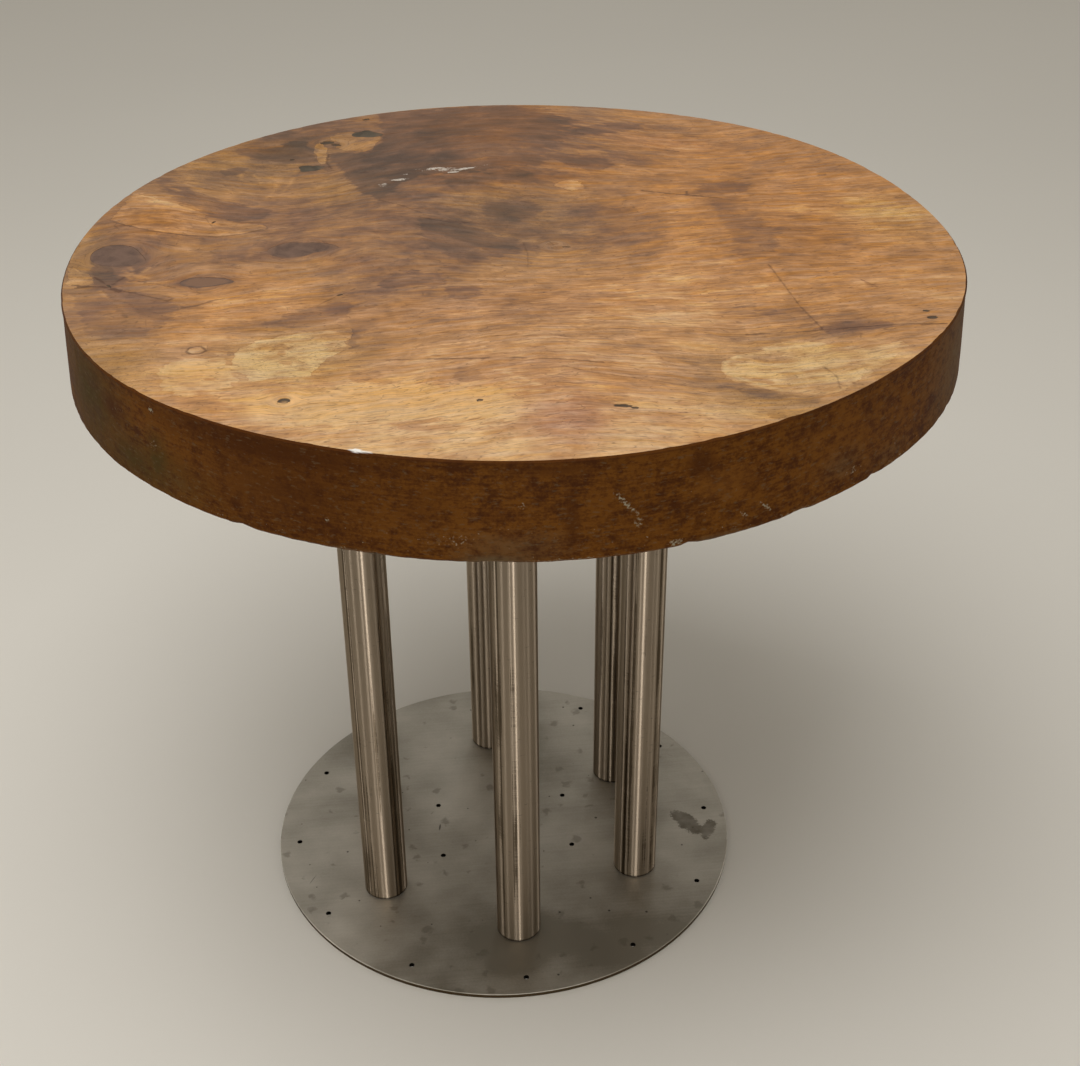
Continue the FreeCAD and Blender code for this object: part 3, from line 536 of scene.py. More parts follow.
def linear(code):
    """Linear RGBA of an sRGB hex colour."""
    parts = [int(code[i:i + 2], 16) / 255 for i in (1, 3, 5)]
    return (*(v / 12.92 if v <= 0.04045 else ((v + 0.055) / 1.055) ** 2.4 for v in parts), 1.0)


def colour(name, description, code):
    """A colour that a user can change."""
    return FloatVectorProperty(name=name, description=description, default=linear(code),
                               size=4, min=0, max=1, subtype="COLOR")


def length(name, description, millimetres):
    """A length that a user can change."""
    return FloatProperty(name=name, description=description, default=millimetres * MM, unit="LENGTH")


def angle(name, description, degrees):
    """An angle that a user can change."""
    return FloatProperty(name=name, description=description, default=math.radians(degrees), subtype="ANGLE")


class SlabSettings(bpy.types.PropertyGroup):
    """Sizes and colours of the sawn slab."""

    upper_arris: length("Upper arris", "Height of the eased edge round the top face", 1.5)
    lower_arris: length("Lower arris", "Height of the worn edge round the underside", 4)
    mesh_step: length("Mesh step", "Distance between points of the top face", 4)
    rim_steps: IntProperty(name="Rim steps", description="Points round the rim", default=720, min=60)
    saw_depth: length("Saw depth", "Depth of the marks that the saw left on the rim", 0.35)
    wear_depth: length("Wear depth", "How far the lower edge is worn back", 0.8)
    nick_depth: length("Nick depth", "How deep the upper edge is nicked", 1.6)
    base_tone: FloatProperty(name="Base tone", default=0.47, min=0, max=1, subtype="FACTOR",
                             description="Wood between the marks, from heart 0 to straw 1")
    pit_colour: colour("Open knots", "Bottom of the open knots and worm holes", "#5c4f42")
    heart_colour: colour("Heart", "Darkest heartwood", "#5e4a3e")
    brown_colour: colour("Brown", "Brown heartwood", "#836049")
    honey_colour: colour("Honey", "Common oiled wood", "#a87b50")
    amber_colour: colour("Amber", "Lighter oiled wood", "#c08f5f")
    straw_colour: colour("Straw", "Palest sapwood", "#d6ae7c")
    vein_colour: colour("Veins", "Dark mineral lines", "#4b2f1f")
    scrape_colour: colour("Scrapes", "White scratches through the oil", "#c9beb0")
    chip_colour: colour("Chip", "Fresh chip in the upper edge", "#f0ece4")
    rim_colour: colour("Rim", "Weathered sawn rim", "#714411")
    # Dirt, and painted shade on the left of the rim and under its upper edge
    rim_dirt_and_shade_colour: colour("Rim dirt", "Dirt in the sawn rim", "#4a2608")
    # Rubbed places, and painted light on the right of the rim
    rim_ochre_and_light_colour: colour("Rim ochre", "Rubbed places on the rim", "#80501a")
    patina_colour: colour("Patina", "Grey-green weathering on the rim", "#4a3b19")
    ash_colour: colour("Ash", "Grey-brown weathering on the rim", "#69563d")
    scuff_colour: colour("Scuffs", "Pale scuffs on the rim", "#a79f86")
    grime_colour: colour("Grime", "Neutral dark in pores and fissures", "#4a4038")
    rust_tint: colour("Red tint", "Tint of the redder wood", "#ffefcf")
    olive_tint: colour("Green tint", "Tint of the greener wood", "#f4fbee")
    rose_tint: colour("Rose tint", "Tint of the pinker wood", "#e0d4ea")
    under_colour: colour("Underside", "Bare sawn underside", "#7d5f41")


class FillerSettings(bpy.types.PropertyGroup):
    """Sizes and colours of the filler in the knots."""

    gap: length("Gap", "Shrinkage gap round the filler", 0.12)
    dish: length("Dish", "How far the filler has sunk in the middle", 0.4)
    brown_light: colour("Brown, light", "Light places of the brown filler", "#775d4e")
    brown_dark: colour("Brown, dark", "Dark places of the brown filler", "#584439")
    grey_light: colour("Grey, light", "Light places of the grey filler", "#5f5445")
    grey_dark: colour("Grey, dark", "Dark places of the grey filler", "#40382d")
    thin_colour: colour("Thin", "Where the filler is thin and the wood shows", "#80604a")


class SteelSettings(bpy.types.PropertyGroup):
    """Sizes and colours of the tubes, plates, plugs and screws."""

    tube_steps: IntProperty(name="Tube steps", description="Points round a tube", default=240, min=24)
    tube_wall: length("Tube wall", "Wall of the tubes", 2)
    tube_break: length("Broken edge", "Chamfer round the ends of the tubes", 0.4)
    tube_turn: angle("Tube turn", "Turn from each tube to the next, so that no two look alike", 137.5)
    # Both tube colours are browned as painted reflections of a brown floor, and the colour runs between them
    # in streaks of painted reflection
    tube_bright: colour("Tube bright", "Clean ground steel", "#8f8170")
    tube_dark: colour("Tube dark", "Hazy ground steel", "#564b3d")
    tube_sheen: colour("Tube sheen", "Ground steel seen aslant", "#cec8bf")
    # The plate's colour runs between these two, and the base plate's painted light and shade move it too
    plate_light: colour("Plate light", "Clean mill steel", "#d0c9bc")
    plate_dark: colour("Plate dark", "Clouded mill steel", "#8b8476")
    # The cut edge: brown rust, darkened as painted shade
    edge_rust_and_shade_colour: colour("Plate edge", "Cut edge of the plates", "#4d3f2c")
    # Dirt in nicks, specks and scratches, and painted shade in the drilled holes of the plates
    dirt_and_shade_colour: colour("Dirt", "Dirt in holes, nicks and corners", "#1d1812")
    stain_colour: colour("Stain", "Old stain on the base plate", "#6a6254")
    plug_colour: colour("Plugs", "Turned plugs in the tubes", "#8d8c88")
    zinc_colour: colour("Screws", "Zinc-plated screws", "#b4b5b4")


class StageSettings(bpy.types.PropertyGroup):
    """The plain studio round the table, and the camera."""

    floor_radius: length("Floor radius", "Size of the floor", 9000)
    floor_colour: colour("Floor", "Pale floor", "#ebe6dc")
    world_colour: colour("Surround", "Pale studio walls", "#dedad2")
    world_strength: FloatProperty(name="Fill light", default=0.5,
                                  description="Strength of the light from the walls")
    lamp_power: FloatProperty(name="Lamp power", default=64,
                              description="Power of the overhead lamp in watts")
    lamp_size: length("Lamp size", "Side of the overhead lamp", 2400)
    lamp_place: FloatVectorProperty(name="Lamp place", description="Where the overhead lamp hangs",
                                    default=(-0.5, -0.7, 3.4), subtype="XYZ", unit="LENGTH")
    strip_height: length("Strip height", "Height of the strip lamps", 2600)
    strip_distance: length("Strip distance", "Distance of the strip lamps", 6200)
    camera_place: FloatVectorProperty(name="Camera place", description="Where the camera stands",
                                      default=(-0.1246, -1.5077, 1.3724), subtype="XYZ", unit="LENGTH")
    camera_yaw: angle("Yaw", "Turn to the right", 6.4624)
    camera_pitch: angle("Pitch", "Tilt below the horizon", 32.2245)
    camera_roll: angle("Roll", "Lean of the camera", -0.4431)
    camera_lens: FloatProperty(name="Lens", description="Focal length in millimetres", default=55.644)


def add(tree, kind, links=None, out=None, stops=None, **settings):
    """Add one shader node with its settings, set or link its inputs, and return one output."""
    node = tree.nodes.new("ShaderNode" + kind)
    for name, value in settings.items():
        setattr(node, name, value)
    for socket, value in (links or {}).items():
        if isinstance(value, bpy.types.NodeSocket):
            tree.links.new(value, node.inputs[socket])
        else:
            node.inputs[socket].default_value = value
    if stops:
        ramp = node.color_ramp
        while len(ramp.elements) < len(stops):
            ramp.elements.new(1.0)
        for element, (position, shade) in zip(ramp.elements, stops):
            element.position = position
            element.color = shade
    return node.outputs[out] if out else next(o for o in node.outputs if o.enabled)


def new_material(name):
    """A material with a Principled shader; returns it, its node tree and the shader."""
    material = bpy.data.materials.new(name)
    material.use_nodes = True
    shader = material.node_tree.nodes["Principled BSDF"]
    return material, material.node_tree, shader


def finish_shader(tree, shader, **inputs):
    """Set or link the shader's own sockets, named with spaces as underscores."""
    for name, value in inputs.items():
        socket = shader.inputs[name.replace("_", " ")]
        if isinstance(value, bpy.types.NodeSocket):
            tree.links.new(value, socket)
        else:
            socket.default_value = value


def patterns(tree, place, sizes, roughness=0.5):
    """Noise under several names: the size of each along X, Y and Z in millimetres, and its detail."""
    found = {}
    for name, (*reach, detail) in sizes.items():
        stretched = add(tree, "VectorMath", {0: place, 1: [1 / (size * MM) for size in reach]},
                        operation="MULTIPLY")
        found[name] = add(tree, "TexNoise", {"Vector": stretched, "Scale": 1.0, "Detail": detail,
                                             "Roughness": roughness})
    return found


def oiled_teak(slab):
    """Teak, planed by hand and oiled: a satin face with long fibres, dark heart and straw sapwood."""
    material, tree, shader = new_material("teak_planed_and_oiled")
    zone = {name: add(tree, "Attribute", out="Fac", attribute_name=name) for name in TOP_FIELDS}
    fibres = add(tree, "Attribute", out="Vector", attribute_name="grain")
    # The fibres waver by a few millimetres, so that no band keeps its width
    waver = add(tree, "TexNoise", {"Vector": fibres, "Scale": 1 / (34 * MM), "Detail": 2}, out="Color")
    fibres = add(tree, "VectorMath", {0: waver, 1: (20 * MM, 10 * MM, 0), 2: fibres},
                 operation="MULTIPLY_ADD")
    # Pores and sanding lines are drawn about three times their real width, so that they show.
    # The face is flat, so the third size does not matter.
    pattern = patterns(tree, fibres, {
        "blotch": (130, 70, 1000, 3), "bands": (210, 13, 1000, 3), "streaks": (56, 3.4, 1000, 4),
        "fine": (30, 1.6, 1000, 3), "clouds": (46, 26, 1000, 3), "figure": (70, 22, 1000, 5),
        "mottle": (15, 9, 1000, 4), "flecks": (20, 4.5, 1000, 3), "ragged": (24, 8, 1000, 6),
        "pores": (10, 1.0, 1000, 1), "dash": (9, 1.7, 1000, 1), "torn": (60, 6, 1000, 5),
        "sanding": (1.5, 90, 1000, 2), "speckle": (2.6, 2.2, 1000, 2), "growth": (85, 14, 1000, 2)},
        roughness=0.6)

    tone = zone["tone"]
    # Each pattern moves the tone of the wood, and some its brightness; the long ones are strong in places
    value = 1.0
    lively = add(tree, "MapRange", {"Value": zone["streaky"], "To Min": 0.25, "To Max": 1.1})
    for name, of_tone, of_value, in_places in (
            ("blotch", 0.30, 0, False), ("clouds", 0.72, 0.3, False), ("mottle", 0.16, 0.6, False),
            ("sanding", 0.03, 0.10, False), ("bands", 0.30, 0, True), ("streaks", 0.40, 0.4, True),
            ("fine", 0.34, 0.7, True)):
        centred = add(tree, "Math", {0: pattern[name], 1: 0.5}, operation="SUBTRACT")
        if in_places:
            centred = add(tree, "Math", {0: centred, 1: lively}, operation="MULTIPLY")
        tone = add(tree, "Math", {0: centred, 1: of_tone, 2: tone}, operation="MULTIPLY_ADD")
        if of_value:
            value = add(tree, "Math", {0: centred, 1: of_value, 2: value}, operation="MULTIPLY_ADD")
    # Flames of lighter wood with an edge, and short flecks, dark and pale
    for name, low, high, gain in (("figure", 0.47, 0.52, 0.08), ("flecks", 0.60, 0.68, -0.11),
                                  ("flecks", 0.39, 0.32, 0.12)):
        share = add(tree, "MapRange", {"Value": pattern[name], "From Min": low, "From Max": high},
                    interpolation_type="SMOOTHSTEP")
        share = add(tree, "Math", {0: share, 1: lively}, operation="MULTIPLY")
        tone = add(tree, "Math", {0: share, 1: gain, 2: tone}, operation="MULTIPLY_ADD")
    uneven = add(tree, "Math", {0: pattern["mottle"], 1: pattern["clouds"]}, operation="ADD")
    uneven = add(tree, "MapRange", {"Value": uneven, "From Min": 0.75, "From Max": 1.1, "To Min": 0.55})
    for name, gain in (("pale", 0.27), ("dark", -0.26)):
        ragged = add(tree, "Math", {0: pattern["ragged"], 1: 1.2, 2: zone[name]}, operation="MULTIPLY_ADD")
        edge, around = (add(tree, "MapRange", {"Value": ragged, "From Min": low, "From Max": high},
                            interpolation_type="SMOOTHSTEP") for low, high in ((1.06, 1.13), (0.99, 1.06)))
        # A thin darker line follows the edge of each patch
        outline = add(tree, "Math", {0: around, 1: edge}, operation="SUBTRACT")
        outline = add(tree, "Math", {0: outline, 1: zone[f"{name}_depth"]}, operation="MULTIPLY")
        tone = add(tree, "Math", {0: outline, 1: -0.11, 2: tone}, operation="MULTIPLY_ADD")
        share = add(tree, "Math", {0: edge, 1: zone[f"{name}_depth"]}, operation="MULTIPLY")
        share = add(tree, "Math", {0: share, 1: uneven}, operation="MULTIPLY")
        tone = add(tree, "Math", {0: share, 1: gain, 2: tone}, operation="MULTIPLY_ADD")
    # Torn streaks of straw in the sapwood, and pale flecks along the gleam lines
    torn = add(tree, "MapRange", {"Value": pattern["torn"], "From Min": 0.50, "From Max": 0.60})
    gleam = add(tree, "MapRange", {"Value": pattern["ragged"], "From Min": 0.34, "From Max": 0.54})
    for share, name, gain in ((torn, "straw", 0.12), (gleam, "gleam", 0.26)):
        share = add(tree, "Math", {0: share, 1: zone[name]}, operation="MULTIPLY")
        tone = add(tree, "Math", {0: share, 1: gain, 2: tone}, operation="MULTIPLY_ADD")
    shade = add(tree, "ValToRGB", {"Fac": tone}, stops=(
        (0.08, slab.heart_colour), (0.30, slab.brown_colour), (0.52, slab.honey_colour),
        (0.72, slab.amber_colour), (0.98, slab.straw_colour)))
    for name, tint in (("rust", slab.rust_tint), ("olive", slab.olive_tint), ("rose", slab.rose_tint)):
        shade = add(tree, "Mix", {0: zone[name], 6: shade, 7: tint}, data_type="RGBA",
                    blend_type="MULTIPLY")
    # The oil brings out some fibres more than others, from greyish to golden
    drift = add(tree, "MapRange", {"Value": pattern["torn"], "From Min": 0.35, "From Max": 0.65,
                                   "To Min": 0.90, "To Max": 1.09})
    shade = add(tree, "HueSaturation", {"Saturation": drift, "Color": shade}, out="Color")
    shade = add(tree, "Mix", {0: 1.0, 6: shade, 7: value}, data_type="RGBA", blend_type="MULTIPLY")

    # Small dark marks: pores everywhere, dashes and speckles where the figure has them
    pores = add(tree, "MapRange", {"Value": pattern["pores"], "From Min": 0.58, "From Max": 0.74,
                                   "To Max": 0.40})
    fissures = add(tree, "MapRange", {"Value": pattern["fine"], "From Min": 0.54, "From Max": 0.78,
                                      "To Max": 0.45})
    dashes = add(tree, "MapRange", {"Value": pattern["dash"], "From Min": 0.62, "From Max": 0.70})
    dashes = add(tree, "Math", {0: dashes, 1: zone["dashes"]}, operation="MULTIPLY")
    speckle = add(tree, "MapRange", {"Value": pattern["speckle"], "From Min": 0.58, "From Max": 0.68,
                                     "To Max": 0.60})
    speckle = add(tree, "Math", {0: speckle, 1: zone["olive"]}, operation="MULTIPLY")
    vein = add(tree, "Math", {0: pattern["ragged"], 1: 1.2, 2: zone["vein"]}, operation="MULTIPLY_ADD")
    vein = add(tree, "MapRange", {"Value": vein, "From Min": 1.06, "From Max": 1.5, "To Max": 0.65})
    # Growth lines: where the wood's own slow waves pass certain levels, they loop round the figure
    growth = add(tree, "Math", {0: pattern["growth"], 1: 9.0}, operation="MULTIPLY")
    growth = add(tree, "Math", {0: growth, 1: 0.5}, operation="PINGPONG")
    growth = add(tree, "MapRange", {"Value": growth, "From Min": 0.075, "From Max": 0.02, "To Max": 0.36})
    scrape = add(tree, "Math", {0: pattern["speckle"], 1: 0.7, 2: pattern["ragged"]},
                 operation="MULTIPLY_ADD")
    scrape = add(tree, "Math", {0: scrape, 1: zone["scrape"]}, operation="MULTIPLY")
    scrape = add(tree, "MapRange", {"Value": scrape, "From Min": 0.82, "From Max": 1.00, "To Max": 0.95})
    for mark, own in ((growth, slab.vein_colour), (pores, slab.grime_colour), (fissures, slab.grime_colour),
                      (dashes, slab.vein_colour), (speckle, slab.vein_colour), (vein, slab.vein_colour),
                      (scrape, slab.scrape_colour), (zone["pit"], slab.pit_colour),
                      (zone["chip"], slab.chip_colour)):
        shade = add(tree, "Mix", {0: mark, 6: shade, 7: own}, data_type="RGBA")
    gloss = add(tree, "MapRange", {"Value": pattern["clouds"], "To Min": 0.48, "To Max": 0.66})
    gloss = add(tree, "Math", {0: zone["pit"], 1: 0.5, 2: gloss}, operation="MULTIPLY_ADD", use_clamp=True)
    relief = add(tree, "Math", {0: pattern["streaks"], 1: pores}, operation="SUBTRACT")
    bump = add(tree, "Bump", {"Height": relief, "Strength": 0.25, "Distance": 0.15 * MM})
    finish_shader(tree, shader, Base_Color=shade, Roughness=gloss, Normal=bump, IOR=1.5,
                  Specular_IOR_Level=0.2)
    return material


def weathered_rim(slab):
    """Sawn teak rim, years of dirt and wear: dull red-brown, mottled, rubbed grey at the foot, with painted
    shade on its left and under its upper edge and painted light on its right.
    """
    material, tree, shader = new_material("teak_rim_weathered")
    place = add(tree, "TexCoord", out="Object")
    zone = {name: add(tree, "Attribute", out="Fac", attribute_name=name) for name in RIM_FIELDS}
    pattern = patterns(tree, place, {
        "runs": (11, 11, 80, 3), "mottle": (24, 24, 18, 5), "grit": (2.4, 2.4, 2.0, 3),
        "blotch": (85, 85, 60, 3), "flake": (9, 9, 6, 4), "crumbs": (7, 7, 2.6, 3),
        "fibre": (50, 50, 2.2, 3), "specks": (3.4, 3.4, 2.4, 2)}, roughness=0.6)

    worn = pattern["blotch"]
    for name, gain in (("mottle", 1.2), ("runs", 0.35), ("grit", 1.0), ("flake", 1.7), ("fibre", 0.9)):
        worn = add(tree, "Math", {0: pattern[name], 1: gain, 2: worn}, operation="MULTIPLY_ADD")
    worn = add(tree, "MapRange", {"Value": worn, "From Min": 2.69, "From Max": 3.31})
    shade = add(tree, "Mix", {0: worn, 6: slab.rim_dirt_and_shade_colour, 7: slab.rim_colour}, data_type="RGBA")
    flaked = add(tree, "Math", {0: pattern["flake"], 1: pattern["mottle"]}, operation="ADD")
    # Ochre and soot also carry painted light on the right of the rim and painted shade on its left
    for name, own, most in (("ochre_and_light", slab.rim_ochre_and_light_colour, 0.7), ("patina", slab.patina_colour, 0.9),
                            ("ash", slab.ash_colour, 0.9), ("soot_and_shade", slab.rim_dirt_and_shade_colour, 0.9)):
        broken = add(tree, "Math", {0: flaked, 1: zone[name]}, operation="MULTIPLY")
        broken = add(tree, "MapRange", {"Value": broken, "From Min": 0.35, "From Max": 1.05, "To Max": most})
        shade = add(tree, "Mix", {0: broken, 6: shade, 7: own}, data_type="RGBA")
    # Crumbs of lighter bark and dark pits all over the sawn face
    light, dark = (add(tree, "MapRange", {"Value": pattern["crumbs"], "From Min": low, "From Max": high,
                                          "To Max": most})
                   for low, high, most in ((0.58, 0.68, 0.45), (0.42, 0.32, 0.48)))
    # Painted shade: a dark line just under the upper edge
    band = add(tree, "MapRange", {"Value": zone["height"], "From Min": 0.955, "From Max": 0.985,
                                  "To Max": 0.7})
    scuff = add(tree, "Math", {0: pattern["grit"], 1: zone["scuff"]}, operation="MULTIPLY")
    scuff = add(tree, "MapRange", {"Value": scuff, "From Min": 0.37, "From Max": 0.50, "To Max": 0.85})
    # Pale specks, more of them towards the foot
    specks = add(tree, "Math", {0: zone["height"], 1: -0.12, 2: pattern["specks"]}, operation="MULTIPLY_ADD")
    specks = add(tree, "MapRange", {"Value": specks, "From Min": 0.69, "From Max": 0.74, "To Max": 0.55})
    for mark, own in ((light, slab.ash_colour), (dark, slab.rim_dirt_and_shade_colour), (band, slab.rim_dirt_and_shade_colour),
                      (scuff, slab.scuff_colour), (specks, slab.scuff_colour),
                      (zone["chip"], slab.chip_colour)):
        shade = add(tree, "Mix", {0: mark, 6: shade, 7: own}, data_type="RGBA")
    gloss = add(tree, "MapRange", {"Value": pattern["mottle"], "To Min": 0.50, "To Max": 0.80})
    relief = add(tree, "Math", {0: pattern["grit"], 1: 0.5, 2: pattern["mottle"]}, operation="MULTIPLY_ADD")
    bump = add(tree, "Bump", {"Height": relief, "Strength": 0.35, "Distance": 0.6 * MM})
    finish_shader(tree, shader, Base_Color=shade, Roughness=gloss, Normal=bump, IOR=1.5,
                  Specular_IOR_Level=0.045)
    return material


def sawn_underside(slab):
    """Teak, bare from the bandsaw: dull, with the blade's straight marks across the grain."""
    material, tree, shader = new_material("teak_bandsawn")
    place = add(tree, "TexCoord", out="Object")
    pattern = patterns(tree, place, {"fibres": (90, 2.5, 1000, 4), "blade": (3.5, 400, 1000, 2),
                                     "clouds": (120, 60, 1000, 4)})
    mixed = add(tree, "Math", {0: pattern["fibres"], 1: pattern["clouds"]}, operation="ADD")
    mixed = add(tree, "Math", {0: pattern["blade"], 1: 0.5, 2: mixed}, operation="MULTIPLY_ADD")
    share = add(tree, "MapRange", {"Value": mixed, "From Min": 0.9, "From Max": 1.6})
    shade = add(tree, "Mix", {0: share, 6: slab.rim_dirt_and_shade_colour, 7: slab.under_colour}, data_type="RGBA")
    bump = add(tree, "Bump", {"Height": pattern["blade"], "Strength": 0.5, "Distance": 0.5 * MM})
    finish_shader(tree, shader, Base_Color=shade, Roughness=0.75, Normal=bump, IOR=1.5)
    return material


def wood_filler(name, light, dark, thin):
    """Tinted resin filler, sanded flush: smooth, clouded where it was stirred, woody at its edge."""
    material, tree, shader = new_material(name)
    place = add(tree, "TexCoord", out="Object")
    clouds = add(tree, "TexNoise", {"Vector": place, "Scale": 1 / (18 * MM), "Detail": 4,
                                    "Distortion": 0.8})
    grit = add(tree, "TexNoise", {"Vector": place, "Scale": 1 / (1.6 * MM), "Detail": 2})
    mixed = add(tree, "Math", {0: grit, 1: 0.3, 2: clouds}, operation="MULTIPLY_ADD")
    shade = add(tree, "ValToRGB", {"Fac": mixed}, stops=((0.42, dark), (0.88, light)))
    faded = add(tree, "Attribute", out="Fac", attribute_name="faded")
    faded = add(tree, "Math", {0: clouds, 1: 1.4, 2: faded}, operation="MULTIPLY_ADD")
    faded = add(tree, "MapRange", {"Value": faded, "From Min": 0.95, "From Max": 1.55, "To Max": 0.85})
    shade = add(tree, "Mix", {0: faded, 6: shade, 7: thin}, data_type="RGBA")
    bump = add(tree, "Bump", {"Height": grit, "Strength": 0.15, "Distance": 0.2 * MM})
    finish_shader(tree, shader, Base_Color=shade, Roughness=0.55, Normal=bump, IOR=1.52,
                  Specular_IOR_Level=0.15)
    return material


def ground_tube(steel):
    """Stainless tube, ground round its girth: the fine ring scratches draw every light out into a line. Its
    colour is browned and streaked along its length with painted reflections.
    """
    material, tree, shader = new_material("stainless_tube_ground")
    place = add(tree, "TexCoord", out="Object")
    # The ring scratches are drawn 0.8 mm high, so that they show
    pattern = patterns(tree, place, {
        "rings": (60, 60, 0.8, 2), "nicks": (9, 9, 1.2, 1), "streaks_and_reflections": (14, 14, 900, 3),
        "bloom": (40, 40, 120, 3), "die": (2.4, 2.4, 1500, 2)})
    # Lengthwise streaks in the colour: partly die lines, partly painted reflections of the floor and the
    # surroundings
    mixed = pattern["streaks_and_reflections"]
    for name, gain in (("rings", 0.12), ("bloom", 0.4), ("die", 0.7)):
        mixed = add(tree, "Math", {0: pattern[name], 1: gain, 2: mixed}, operation="MULTIPLY_ADD")
    shade = add(tree, "ValToRGB", {"Fac": mixed},
                stops=((0.97, steel.tube_dark), (1.23, steel.tube_bright)))
    nicks = add(tree, "MapRange", {"Value": pattern["nicks"], "From Min": 0.73, "From Max": 0.78,
                                   "To Max": 0.6})
    height = add(tree, "SeparateXYZ", {0: place}, out="Z")
    # The tube darkens over its lowest 3 mm, where it stands on the plate
    foot = add(tree, "MapRange", {"Value": height, "From Min": 3.0 * MM, "From Max": 0.8 * MM,
                                  "To Max": 0.85})
    for mark in (nicks, foot):
        shade = add(tree, "Mix", {0: mark, 6: shade, 7: steel.dirt_and_shade_colour}, data_type="RGBA")
    gloss = add(tree, "MapRange", {"Value": pattern["rings"], "To Min": 0.28, "To Max": 0.36})
    girth = add(tree, "Tangent", direction_type="RADIAL", axis="Z")
    # The drawing die left shallow lines along the tube, which split each bright line into thinner ones
    bump = add(tree, "Bump", {"Height": pattern["die"], "Strength": 0.4, "Distance": 0.15 * MM})
    finish_shader(tree, shader, Base_Color=shade, Metallic=1.0, Roughness=gloss, Anisotropic=1.0,
                  Anisotropic_Rotation=0.25, Tangent=girth, Normal=bump, Specular_Tint=steel.tube_sheen)
    return material


def mark_reach(tree, place, mark):
    """Distance from the middle of a flat mark, as a share of its own half length and half width."""
    own = add(tree, "Mapping", {"Vector": place, "Location": (mark.x * MM, mark.y * MM, 0),
                                "Rotation": (0, 0, math.radians(mark.turn)),
                                "Scale": (mark.length * MM / 2, mark.width * MM / 2, 1)},
              vector_type="TEXTURE")
    return add(tree, "VectorMath", {0: own}, operation="LENGTH", out="Value")


